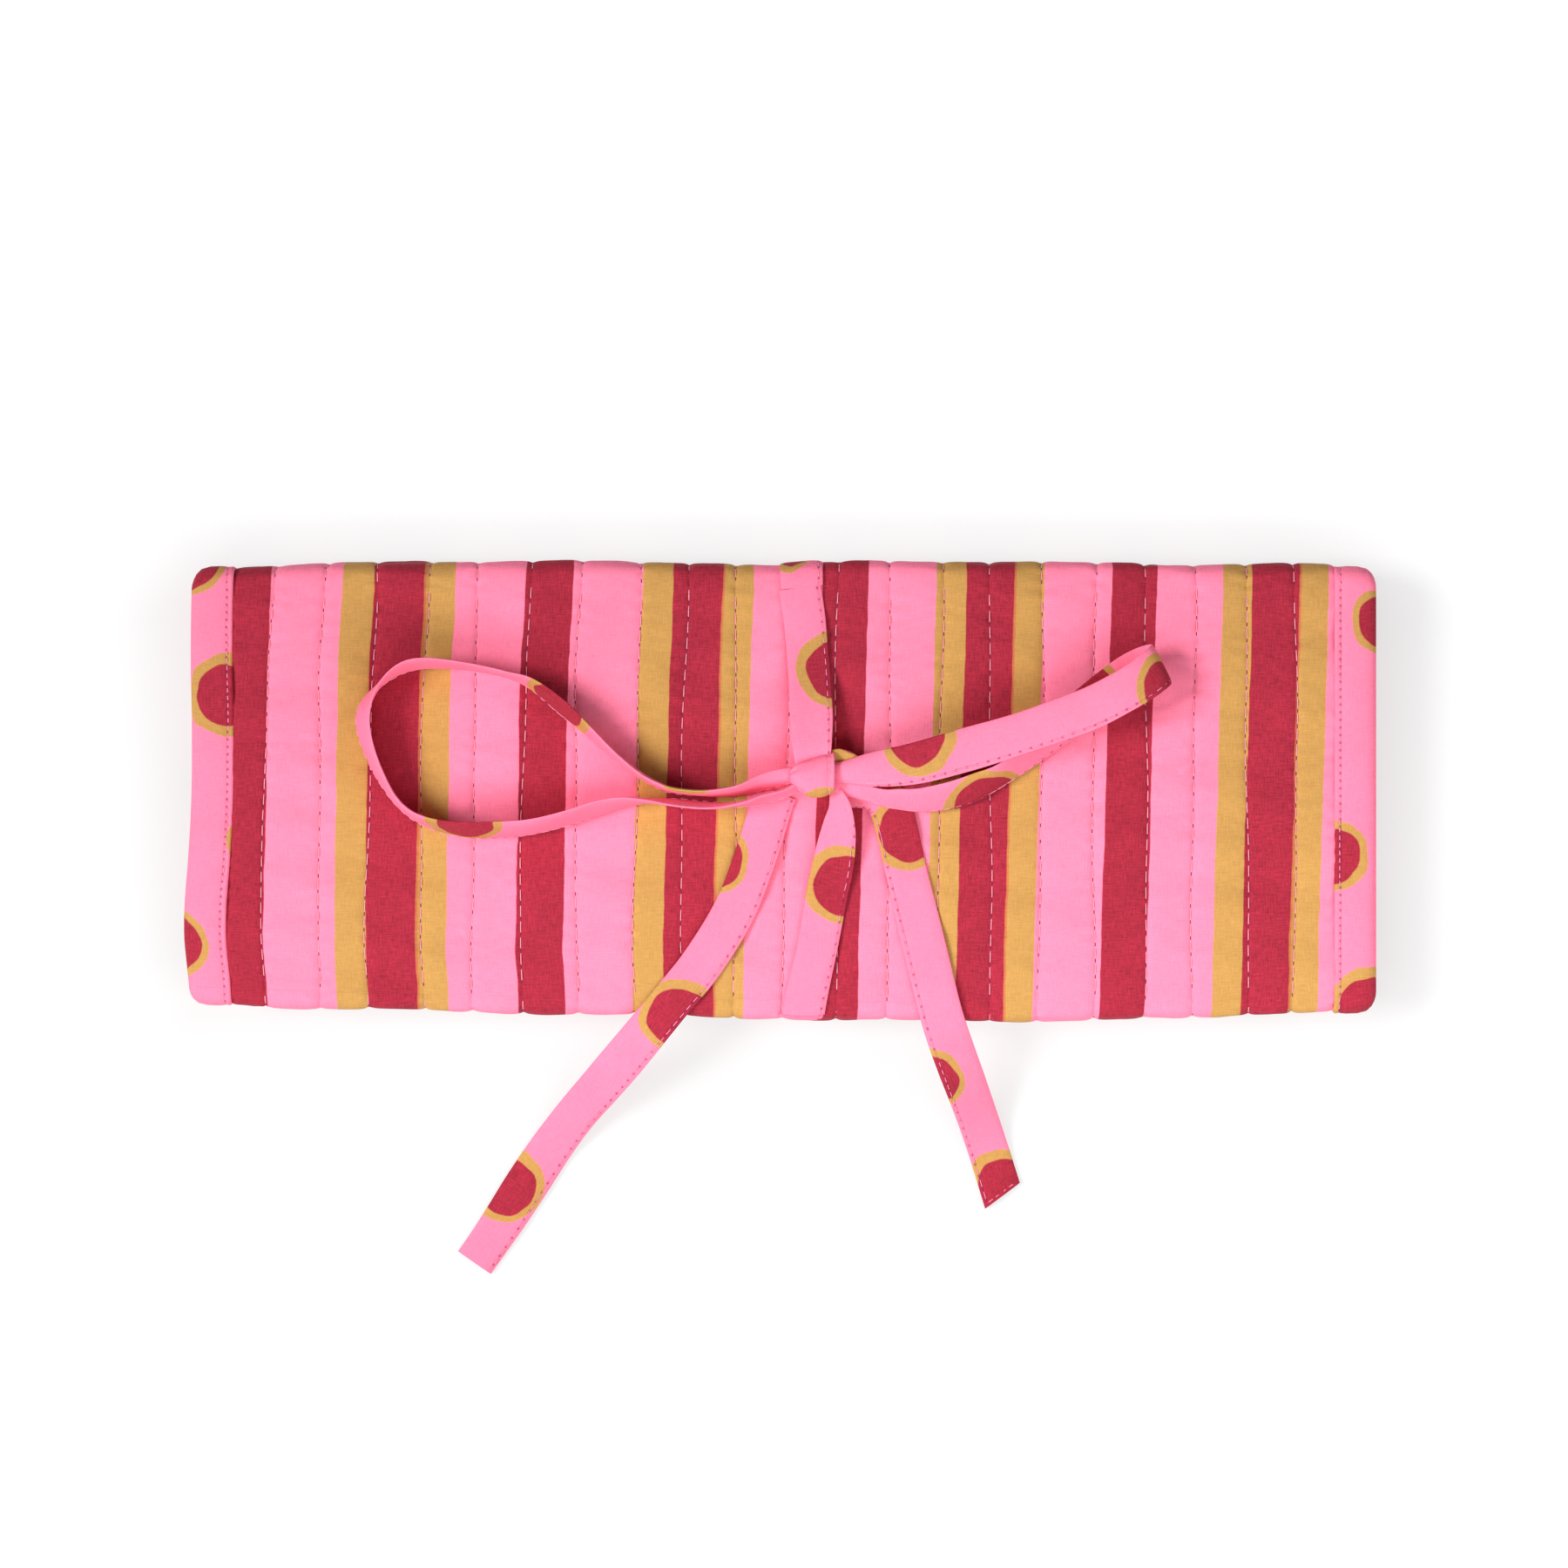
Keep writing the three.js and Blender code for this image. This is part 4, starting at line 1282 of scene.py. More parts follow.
@dataclass
class Bindings:
    """The folded strips round the wall's free edges, with their topstitching."""

    PROFILE = (
        (0.0, -0.5), (0.02, -0.05), (0.2, 0.24), (0.6, 0.38), (1.05, 0.26), (1.4, 0.24), (1.8, 0.38),
        (3.0, 0.55), (5.5, 0.6), (7.6, 0.45), (8.7, 0.05), (9.3, -0.55), (9.62, -1.3), (9.7, -1.9),
        (9.6, -2.5), (9.3, -3.1), (8.7, -3.56), (7.4, -3.72), (4.0, -3.72), (1.0, -3.72),
        (0.2, -3.72), (0.0, -3.4),
    )
    DOTS = {
        "left": (
            Dot(14.0, 5.0), Dot(52.0, 8.5, slip=(0.6, -0.7)), Dot(84.0, 1.0),
            Dot(116.8, 9.6, 5.5, 7.0), Dot(147.9, 1.9, 7.1, 9.6), Dot(181.8, -6.0, 6.0, 7.6),
            Dot(206.3, 12.8, 6.4, 8.0), Dot(236.0, 3.0), Dot(262.0, 7.5),
        ),
        "right": (
            Dot(20.0, 8.0), Dot(58.0, 2.0, slip=(0.6, 0.5)), Dot(95.0, 6.0),
            Dot(129.8, 11.5, 5.7, 7.3), Dot(184.3, 0.2, 6.5, 8.3),
            Dot(219.1, 8.8, 7.6, 9.3, (0.8, 0.6)), Dot(246.0, 4.0),
        ),
        "edge": (
            Dot(-104.0, 2.0), Dot(-63.0, 7.0), Dot(-20.0, 4.0),
            Dot(24.0, 8.0), Dot(66.0, 1.5), Dot(108.0, 6.0),
        ),
    }

    wall: Wall
    cover: Cover
    # marks: where the sewn row's painted shade lies across the binding's map.
    marks: float = 2.0
    pitch: float = 1.75
    stitch: float = 1.2
    seam: float = 1.2
    row: StitchRow = StitchRow(0.11, 0.18, 0.08)
    sewn: float = 0.24
    sewn_below: float = -0.1
    core: float = -1.75
    half_edge: float = 125.4

    def __post_init__(self) -> None:
        """Makes the finishes and the unevenness."""
        self.thread = Thread("binding_thread").make()
        sewn = {"sewn": self.marks, "pitch": self.pitch, "stitch": self.stitch}
        self.finishes = {
            side: DottedCotton(f"binding_{side}_cotton", dots=dots, **sewn).make()
            for side, dots in self.DOTS.items()
        }
        self.pucker = Ripple(21, 6.0)
        self.slack = Ripple(22, 24.0)

    def profile(self) -> tuple[Array, Array, Array]:
        """Reads the strip's section: how far out it reaches, its lift, and the length along it."""
        profile = np.array(self.PROFILE)
        return (*profile.T, lengths(profile))

    def build(self) -> None:
        """Makes the end bindings of every stretch and the two long edges."""
        for stretch in self.wall.stretches:
            for side, sign in (("left", -1.0), ("right", 1.0)):
                self.end(stretch, side, sign)
        self.edge(self.wall["base"], "base_front_binding", False)
        self.edge(self.wall["flap"], "flap_edge_binding", True)

    def lifted(self, stretch: Stretch, lift: Array, reach: Array, run: Array) -> Array:
        """Adds small puckers beside the topstitching, and a slack surface, to the strip's outside.

        Args:
            stretch: the stretch; the base's strip stays flat, on the table.
            lift: the section's lift.
            reach: how far out it reaches.
            run: along the strip.

        Returns:
            The uneven lift.
        """
        outside = smooth(lift, -0.4, 0.2)
        pucker = 0.1 * bell(reach, 1.2, 1.6) * self.pucker(run, reach * 0.4)
        lift = lift + outside * (pucker + 0.1 * self.slack(run, reach))
        return np.minimum(lift, 0.0) if stretch.name == "base" else lift

    def end(self, stretch: Stretch, side: str, sign: float) -> None:
        """Makes one stretch of an end binding: the section swept along the wall, shut at both ends.

        Args:
            stretch: the stretch.
            side: which end of the roll it is on.
            sign: -1 on the left and 1 on the right.
        """
        reach, lift, unrolled = self.profile()
        rows = max(10, int(stretch.total / 1.1))
        s = np.linspace(0.0, stretch.total, rows + 1)[:, None]
        run = s + stretch.start
        inner_edge = SIZES.half_length - SIZES.binding
        x = sign * (inner_edge + reach)
        points = on_table(stretch.place(x, s, self.lifted(stretch, lift, reach, run)))
        core = stretch.place(x, s, self.core)
        uv = spread(run, unrolled)
        strip = Patchwork().add(points, uv, flip=sign > 0)
        for end in (0, -1):
            strip.join(points[end], core[end], uv[end], flip=(sign > 0) != (end == 0))
        name = f"{stretch.name}_binding_{side}"
        piece = strip.build(f"{name}_cloth", self.finishes[side])
        self.cover.finish(piece, stretch, Slot.BINDING, name)
        starts = np.arange(0.3, stretch.total - self.stitch, self.pitch)
        if len(starts):
            row = np.full(len(starts), sign * (inner_edge + self.seam))
            self.topstitch(stretch, f"{name}_stitches", row, starts, (0.0, self.stitch))

    def topstitch(self, stretch: Stretch, name: str, x: Array, s: Array, step: Pair) -> None:
        """Sews a row of stitches on a binding.

        Args:
            stretch: the stretch that the row lies on.
            name: the row's name.
            x: where the stitches start along the roll.
            s: where they start along the stretch.
            step: how far a stitch runs along the roll and along the stretch.
        """
        level = self.sewn_below if stretch.name == "base" else self.sewn

        def spot(share: float, height: float) -> Array:
            """A point of each stitch, by its share of the way and its height over the row."""
            return stretch.place(x + share * step[0], s + share * step[1], level + height)

        normal = spot(0.5, 1.0) - spot(0.5, 0.0)
        row = self.row.build(name, self.thread, spot(0.0, 0.0), spot(1.0, 0.0), normal)
        self.cover.finish(row, stretch, Slot.BINDING)

    def edge(self, stretch: Stretch, node: str, at_end: bool) -> None:
        """Makes a long edge's binding: the section swept along the roll.

        Args:
            stretch: the stretch that it binds.
            node: the CAD node that it stands for.
            at_end: whether it binds the stretch's end, and not its start.
        """
        reach, lift, unrolled = self.profile()
        x = np.linspace(-self.half_edge, self.half_edge, 180)[:, None]
        inset = SIZES.binding - reach
        s = stretch.total - inset if at_end else inset
        points = stretch.place(x, s, self.lifted(stretch, lift, reach, x))
        strip = Patchwork().add(points, spread(x, unrolled), flip=at_end)
        piece = strip.build(f"{node}_cloth", self.finishes["edge"])
        self.cover.finish(piece, stretch, Slot.BINDING, node)
        starts = np.arange(-124.0, 123.0, self.pitch)
        seam = SIZES.binding - self.seam
        row = np.full(len(starts), stretch.total - seam if at_end else seam)
        self.topstitch(stretch, f"{node}_stitches", starts, row, (self.stitch, 0.0))


# The tie


@dataclass(frozen=True)
class Track:
    """A ribbon's evenly sampled centreline with its own axes at each sample."""

    center: Array
    ahead: Array
    across: Array
    up: Array
    half: Array
    run: Array


@dataclass(frozen=True)
class Route:
    """A ribbon's route: rows of x, y, z and the vector across it as a share of its width."""

    rows: tuple[tuple[float, ...], ...]
    width: float = 9.6

    def sample(self, step: float) -> Track:
        """Runs a cubic through the rows (Catmull-Rom), spaces it evenly, and squares the across vector to it.

        Args:
            step: the spacing, in millimetres.

        Returns:
            The sampled track.
        """
        rows = np.array([(*row, *(0.0,) * (6 - len(row))) for row in self.rows])
        padded = np.concatenate([rows[:1], rows, rows[-1:]])
        share = np.linspace(0.0, 1.0, 24, endpoint=False)[:, None]
        parts = []
        for index in range(len(rows) - 1):
            a, b, c, d = padded[index : index + 4]
            bend = 2.0 * a - 5.0 * b + 4.0 * c - d
            parts.append(b + 0.5 * share * ((c - a) + share * (bend + share * (3.0 * b - a - 3.0 * c + d))))
        dense = np.concatenate([*parts, rows[-1:]])
        length = lengths(dense[:, :3])
        run = np.linspace(0.0, length[-1], max(6, int(length[-1] / step)))
        even = np.stack([np.interp(run, length, column) for column in dense.T], axis=1)
        center = even[:, :3]
        ahead = unit(np.gradient(center, run, axis=0))
        across = even[:, 3:]
        half = np.linalg.norm(across, axis=1) * self.width / 2.0
        across = unit(across - ahead * np.sum(across * ahead, axis=1, keepdims=True))
        return Track(center, ahead, across, np.cross(ahead, across), half, run)


@dataclass(frozen=True)
class Spot:
    """A dot on a ribbon, by where it is seen from above and how far it is off the ribbon's middle."""

    x: float
    y: float
    off: float = 0.0
    core: float = 6.8
    ring: float = 9.0


@dataclass
class Ribbon:
    """A folded and topstitched strip of the dotted cotton along a route.

    The flat and rise fields are the powers that square the section; thin is how much thinner its edges are.
    """

    node: str
    body: str
    route: Route
    spots: tuple[Spot, ...] = ()
    stitched: float = 1.0
    thick: float = 1.15
    curl: Pair = (0.0, 0.0)
    curl_length: float = 14.0
    slant: float = 0.0
    laid: bool = False
    solid: bool = True
    step: float = 0.8
    sides: int = 28
    flat: float = 0.55
    rise: float = 0.6
    thin: float = 0.55
    margin: float = 0.9
    pitch: float = 2.5
    stitch: float = 1.85
    row: StitchRow = StitchRow(0.085, 0.15, 0.03)

    @property
    def name(self) -> str:
        """The name of its piece."""
        return f"{self.node}_cloth"

    def track(self) -> Track:
        """Samples the route."""
        return self.route.sample(self.step)

    def section(self, flat: Array, rise: Array) -> Array:
        """Gives the height over the ribbon's middle, which is less towards both edges."""
        return rise * self.thick / 2.0 * (1.0 - self.thin * np.abs(flat) ** 5)

    def face(self, flat: Array) -> Array:
        """Gives half the ribbon's thickness at a share of the way from its middle to its edge."""
        cosine = np.abs(flat) ** (1.0 / self.flat)
        return self.section(flat, (1.0 - cosine**2) ** (self.rise / 2.0))

    def bent(self, track: Track, v: Array, h: Array) -> Array:
        """Bends a section into an arc where the ribbon is gathered, and places it along the track.

        Args:
            track: the ribbon's track.
            v: across the ribbon, rows by columns.
            h: off its middle.

        Returns:
            The points.
        """
        run, total, reach = track.run[:, None], track.run[-1], self.curl_length
        first, last = self.curl
        angle = first * smooth(-run, -reach, 0.0) + last * smooth(run, total - reach, total)
        angle = np.where(np.abs(angle) < 1e-3, 1e-3, angle)
        radius = 2.0 * track.half[:, None] / angle
        across = (radius - h) * np.sin(v / radius)
        up = radius - (radius - h) * np.cos(v / radius)
        ahead = self.slant * v * smooth(run, total - 9.0, total)
        points = track.center[:, None] + track.across[:, None] * across[..., None]
        points = points + track.up[:, None] * up[..., None] + track.ahead[:, None] * ahead[..., None]
        return SLOUCH.lay(points) if self.laid else points

    def dots(self, track: Track) -> tuple[Dot, ...]:
        """Finds each spot's place along the ribbon: the sample that lies nearest to it from above.

        Args:
            track: the ribbon's track.

        Returns:
            The dots on the ribbon's map.
        """
        found = []
        for spot in self.spots:
            gap = np.hypot(track.center[:, 0] - spot.x, track.center[:, 1] - spot.y)
            along = float(track.run[np.argmin(gap)])
            found.append(Dot(along, spot.off, spot.core, spot.ring, (0.3, 0.3)))
        return tuple(found)

    def build(self, thread: Material) -> tuple[Piece, Piece]:
        """Sweeps a flat section with round edges along the route and sews along one edge.

        Args:
            thread: the topstitching's material.

        Returns:
            The ribbon and its stitches.
        """
        track = self.track()
        angle = around(self.sides)
        flat, rise = blunt(np.cos(angle), self.flat), blunt(np.sin(angle), self.rise)
        seed = sum(map(ord, self.name))
        rumple = Ripple(seed, 15.0)(track.run[:, None], flat * track.half[:, None] * 1.5)
        waver = Ripple(seed + 1, 30.0)(track.run, 0.0)
        v = flat * (track.half * (1.0 + 0.025 * waver))[:, None]
        h = self.section(flat, rise) + 0.1 * rumple
        points = self.bent(track, v, h)
        uv = spread(track.run[:, None], v)
        strip = Patchwork().add(points, uv, ring=True)
        shut = self.bent(track, v, h * 0.0)
        for end, flip in ((0, False), (-1, True)):
            strip.join(shut[end], points[end], uv[end], ring=True, flip=flip)
        sewn = self.stitched * (self.route.width / 2.0 - self.margin)
        cotton = DottedCotton(f"{self.name}_cotton", dots=self.dots(track), sewn=sewn)
        LOG.info("%s is %.0f mm long", self.name, track.run[-1])
        return strip.build(self.name, cotton.make()), self.sew(track, thread)

    def sew(self, track: Track, thread: Material) -> Piece:
        """Sews a row of stitches on both faces, a little in from one edge, and one by a slanted end.

        Args:
            track: the ribbon's track.
            thread: the topstitching's material.

        Returns:
            The stitches.
        """
        starts = np.arange(1.0, track.run[-1] - 2.2, self.pitch)

        def nearest(run: Array) -> Array:
            """The samples at given lengths along the ribbon."""
            return np.clip(np.searchsorted(track.run, run), 0, len(track.run) - 1)

        begin, middle, end = (nearest(starts + shift) for shift in (0.0, 0.9, self.stitch))
        v = self.stitched * (track.half - self.margin)
        rows = []
        for side in (1.0, -1.0):
            line = self.bent(track, v[:, None], side * self.face(v / track.half)[:, None])[:, 0]
            rows.append((line[begin], line[end], side * track.up[middle]))
        if self.slant:
            cut = np.linspace(-0.85, 0.85, 5) * (track.half[-1] - 0.6)
            across = np.broadcast_to(cut, (len(track.run), len(cut)))
            line = self.bent(track, across, np.full((1, 1), self.thick / 2.0))[-2]
            ends = line[:-1] + 0.78 * np.diff(line, axis=0)
            rows.append((line[:-1], ends, np.repeat(track.up[-1:], len(ends), axis=0)))
        parts = (np.concatenate(part) for part in zip(*rows))
        return self.row.build(f"{self.name}_stitches", thread, *parts)


@dataclass
class Knot:
    """The bow's knot: a sleeve round the gathered loops that narrows to the left, sewn on the right.

    A station gives x, the middle's y, half the width and half the height.
    """

    STATIONS = (
        (1.5, 3.0, 1.1, 1.9), (2.1, 3.0, 2.0, 2.5), (3.2, 2.95, 2.95, 3.0), (4.3, 2.85, 3.6, 3.25),
        (5.9, 2.6, 4.4, 3.45), (8.5, 2.95, 4.85, 3.6), (10.3, 3.4, 4.85, 3.6), (11.6, 3.9, 4.6, 3.6),
    )

    level: float = 25.2
    squared: float = 0.88
    left: float = 1.5
    right: float = 11.6
    seam: float = 10.5

    def place(self, x: Array, angle: Array, lift: Array | float) -> Array:
        """Places points on the sleeve.

        Args:
            x: along the roll.
            angle: round the sleeve; a quarter turn is on top.
            lift: off its surface.

        Returns:
            The points.
        """
        at, middle, wide, tall = np.array(self.STATIONS).T
        x, angle, lift = np.broadcast_arrays(x, angle, lift)
        aside, above = blunt(np.cos(angle), self.squared), blunt(np.sin(angle), self.squared)
        y = np.interp(x, at, middle) + (np.interp(x, at, wide) + lift) * aside
        z = self.level + (np.interp(x, at, tall) + lift) * above
        return spread(x, y, z)

    def build(self, thread: Material) -> tuple[Piece, Piece]:
        """Makes the sleeve, pleated towards its left mouth, with turned-in lips and a sewn right edge.

        Args:
            thread: the topstitching's material.

        Returns:
            The sleeve and its stitches.
        """
        angle = around(64)
        rows = np.linspace(self.left, self.right, 40)
        x = np.concatenate([[2.6, 1.8], rows, [11.55, 11.1]])[:, None]
        lip = np.concatenate([[-1.1, -0.5], np.zeros(len(rows)), [-0.5, -0.9]])[:, None]
        share = (x - self.left) / (self.right - self.left)
        pleat = 0.26 * np.sin(9.0 * angle + 3.0 * share + 1.3 * np.sin(2.0 * angle))
        pleat = pleat * np.clip(1.0 - share, 0.0, 1.0) ** 3
        slack = 0.07 * Ripple(77, 7.0)(angle * 4.0, x) - 0.2 * bell(x, 10.4, 0.5)
        points = self.place(x, angle, lip + pleat + slack)
        cotton = DottedCotton("bow_knot_cotton", dots=(Dot(12.4, 8.1, 0.1, 3.8),)).make()
        sleeve = Patchwork().add(points, spread(angle * 4.2, x), ring=True, flip=True)
        piece = sleeve.build("bow_knot_cloth", cotton)
        turn = np.arange(0.1, 3.1, 0.42)
        ends = (self.place(self.seam, turn + shift, -0.15) for shift in (0.0, 0.3))
        normal = self.place(self.seam, turn + 0.15, 1.0) - self.place(self.seam, turn + 0.15, 0.0)
        stitches = StitchRow(0.1, 0.12, 0.05).build("bow_knot_stitches", thread, *ends, normal)
        return piece, stitches


class Tie:
    """The tie: sewn runs up the back and the front, straps over the face, and the bow."""

    BACK_RUN = Route((
        (3.6, 51.4, 2.5, 1.0), (3.6, 51.4, 9.0, 1.0), (3.6, 51.4, 15.4, 1.0), (3.6, 51.0, 18.4, 1.0),
        (3.65, 50.0, 20.2, 1.0), (3.7, 48.0, 20.8, 1.0), (3.8, 45.8, 20.9, 1.0),
    ))
    BACK_STRAP = Route((
        (3.8, 45.8, 20.9, 1.0), (4.8, 39.0, 20.9, 1.0), (5.3, 34.0, 20.95, 1.0),
        (5.6, 30.0, 21.4, 1.0), (5.9, 26.5, 22.2, 1.0), (6.2, 21.0, 23.7, 1.0),
        (6.4, 17.0, 24.6, 0.99), (6.5, 12.0, 25.4, 0.95), (6.6, 8.5, 25.6, 0.9),
        (6.7, 5.0, 25.0, 0.8), (6.7, 2.0, 24.0, 0.75),
    ))
    FRONT_STRAP = Route((
        (12.0, 0.4, 23.0, 0.3, 0.0, 0.2), (13.3, -4.0, 23.5, 0.62, 0.0, 0.25),
        (13.0, -8.0, 22.8, 0.82, 0.0, 0.2), (12.0, -13.5, 22.1, 0.93, 0.0, 0.12),
        (11.1, -18.5, 21.4, 0.97, 0.0, 0.04), (10.1, -23.0, 21.0, 0.97), (9.0, -29.0, 20.9, 0.97),
        (7.6, -36.6, 20.9, 0.98), (5.7, -45.0, 20.9, 1.0), (4.7, -50.0, 20.75, 1.0),
        (4.6, -51.1, 20.1, 1.0),
    ))
    FRONT_RUN = Route((
        (4.6, -50.4, 0.8, 1.0), (4.6, -50.6, 3.0, 1.0), (4.6, -51.1, 7.6, 1.0),
        (4.6, -51.1, 16.25, 1.0), (4.6, -51.0, 18.4, 1.0), (4.6, -50.8, 19.4, 1.0),
        (4.6, -50.4, 20.0, 1.0),
    ))
    LEFT_LOOP = Route((
        (3.2, 3.2, 25.4, 0.0, 0.4, 0.1), (-0.2, 2.5, 25.7, 0.0, 0.43, 0.3),
        (-4.4, 1.3, 25.7, 0.0, 0.38, 0.6), (-10.1, -0.3, 25.6, 0.0, 0.2, 0.9),
        (-17.2, -0.8, 25.5, -0.02, 0.09, 0.98), (-24.3, -0.3, 25.4, -0.04, 0.1, 0.98),
        (-28.5, 1.0, 25.4, -0.06, 0.13, 0.98), (-32.8, 3.5, 25.4, -0.08, 0.13, 0.98),
        (-38.5, 7.9, 25.4, 0.05, 0.13, 0.98), (-44.1, 13.2, 25.4, 0.15, 0.17, 0.97),
        (-50.2, 18.7, 25.4, 0.2, 0.24, 0.94), (-57.0, 24.0, 25.4, 0.1, 0.2, 0.97),
        (-62.6, 26.0, 25.4, -0.05, 0.14, 0.98), (-71.1, 27.7, 25.4, -0.02, 0.14, 0.98),
        (-79.0, 28.6, 25.3, 0.0, 0.18, 0.98), (-84.6, 28.0, 25.2, 0.04, 0.22, 0.97),
        (-88.9, 25.8, 25.1, 0.14, 0.22, 0.96), (-92.8, 22.0, 25.0, 0.28, 0.16, 0.94),
        (-94.9, 18.1, 25.0, 0.37, 0.06, 0.92), (-95.1, 14.2, 25.0, 0.38, 0.02, 0.92),
        (-93.7, 8.9, 25.0, 0.33, 0.04, 0.94), (-91.2, 3.2, 25.2, 0.22, 0.08, 0.97),
        (-88.2, -1.8, 25.3, 0.12, 0.1, 0.98), (-84.8, -5.2, 25.4, 0.06, 0.15, 0.98),
        (-81.1, -7.2, 25.4, 0.02, 0.22, 0.97), (-76.8, -8.5, 25.4, 0.0, 0.3, 0.95),
        (-70.4, -9.3, 25.3, 0.0, 0.36, 0.93), (-62.6, -9.1, 25.3, 0.0, 0.36, 0.93),
        (-56.9, -8.5, 25.3, -0.02, 0.35, 0.93), (-49.1, -6.6, 25.3, -0.04, 0.34, 0.93),
        (-42.0, -4.3, 25.4, -0.04, 0.32, 0.94), (-36.5, -3.0, 25.4, -0.02, 0.22, 0.97),
        (-31.4, -2.7, 25.4, 0.0, 0.04, 0.99), (-25.4, -3.0, 25.4, 0.0, -0.13, 0.98),
        (-19.0, -3.5, 25.5, 0.0, -0.13, 0.98), (-13.3, -3.7, 25.6, 0.0, -0.04, 0.95),
        (-8.5, -3.2, 26.0, 0.0, 0.08, 0.88), (-4.4, -2.0, 26.0, 0.0, 0.2, 0.68),
        (-0.2, -0.8, 25.6, 0.0, 0.2, 0.5), (3.2, 0.8, 25.3, 0.0, 0.2, 0.35),
    ))
    RIGHT_LOOP = Route((
        (10.2, 2.2, 24.4, 0.0, 0.4, 0.05), (14.0, 0.9, 24.0, 0.0, 0.45, 0.14),
        (18.4, -0.5, 24.1, -0.02, 0.38, 0.3), (22.8, -1.9, 24.6, -0.02, 0.42, 0.42),
        (26.5, -2.3, 24.9, -0.01, 0.5, 0.52), (30.5, -2.5, 24.9, 0.0, 0.56, 0.54),
        (36.8, -1.7, 24.4, -0.1, 0.65, 0.68), (43.8, 0.5, 24.5, -0.2, 0.6, 0.72),
        (50.1, 3.7, 24.7, -0.24, 0.48, 0.8), (57.2, 9.2, 24.6, -0.36, 0.56, 0.7),
        (64.7, 15.8, 24.4, -0.5, 0.65, 0.54), (72.3, 22.0, 24.5, -0.5, 0.74, 0.42),
        (78.0, 25.8, 24.9, -0.48, 0.82, 0.25), (82.0, 27.6, 25.8, -0.46, 0.87, 0.1),
        (84.6, 28.2, 27.4, -0.45, 0.89, 0.0), (85.3, 28.2, 29.4, -0.45, 0.89, 0.0),
        (84.0, 27.0, 31.6, -0.44, 0.9, 0.0), (79.6, 23.8, 32.7, -0.42, 0.91, 0.0),
        (70.0, 18.6, 32.4, -0.38, 0.92, 0.0), (59.6, 14.7, 31.4, -0.33, 0.94, 0.0),
        (50.0, 11.5, 30.4, -0.3, 0.95, 0.0), (40.8, 8.8, 29.5, -0.25, 0.97, 0.0),
        (30.0, 5.9, 28.6, -0.2, 0.96, 0.0), (20.0, 4.4, 27.7, -0.1, 0.8, 0.05),
        (14.4, 3.8, 26.8, -0.04, 0.6, 0.05), (10.2, 3.8, 26.2, 0.0, 0.45, 0.05),
    ))
    LEFT_TAIL = Route((
        (-1.4, -0.6, 20.9, 0.93, -0.3), (-2.8, -4.2, 20.9, 0.94, -0.3),
        (-5.8, -13.9, 20.9, 0.92, -0.38), (-10.8, -27.0, 20.9, 0.88, -0.47),
        (-18.2, -39.2, 20.9, 0.8, -0.6), (-26.1, -49.0, 20.9, 0.79, -0.61),
        (-30.0, -53.8, 20.5, 0.78, -0.62), (-35.5, -60.5, 16.6, 0.77, -0.64),
        (-41.5, -67.6, 10.5, 0.77, -0.64), (-47.5, -74.6, 4.6, 0.78, -0.62),
        (-53.2, -82.2, 1.3, 0.84, -0.54), (-59.2, -91.2, 0.9, 0.87, -0.5),
        (-65.0, -100.2, 0.9, 0.88, -0.48), (-71.2, -109.2, 0.9, 0.93, -0.4),
    ))
    RIGHT_TAIL = Route((
        (13.2, -0.6, 20.9, 0.0, 0.75), (19.0, -0.4, 20.9, 0.2, 0.8), (23.0, -2.2, 20.9, 0.75, 0.6),
        (24.8, -5.5, 20.9, 0.96, 0.28), (26.1, -10.0, 20.9, 0.98, 0.21),
        (27.8, -18.0, 20.9, 0.98, 0.21), (31.9, -35.0, 20.9, 0.97, 0.24),
        (35.2, -48.4, 20.9, 0.97, 0.24), (36.9, -54.4, 20.4, 0.97, 0.26),
        (39.6, -62.0, 16.4, 0.95, 0.3), (42.5, -69.6, 10.0, 0.94, 0.33),
        (45.2, -77.0, 4.0, 0.94, 0.35), (47.7, -84.4, 1.1, 0.94, 0.34), (50.6, -93.8, 0.9, 0.95, 0.3),
    ))
    KNOT_FOLD = Route((
        (8.6, 5.6, 24.6, 0.0, 0.35, 0.1), (12.0, 7.2, 24.8, -0.05, 0.42, 0.1),
        (15.0, 6.6, 25.2, 0.12, 0.4, 0.1), (17.4, 4.6, 25.4, 0.2, 0.3, 0.1),
    ))

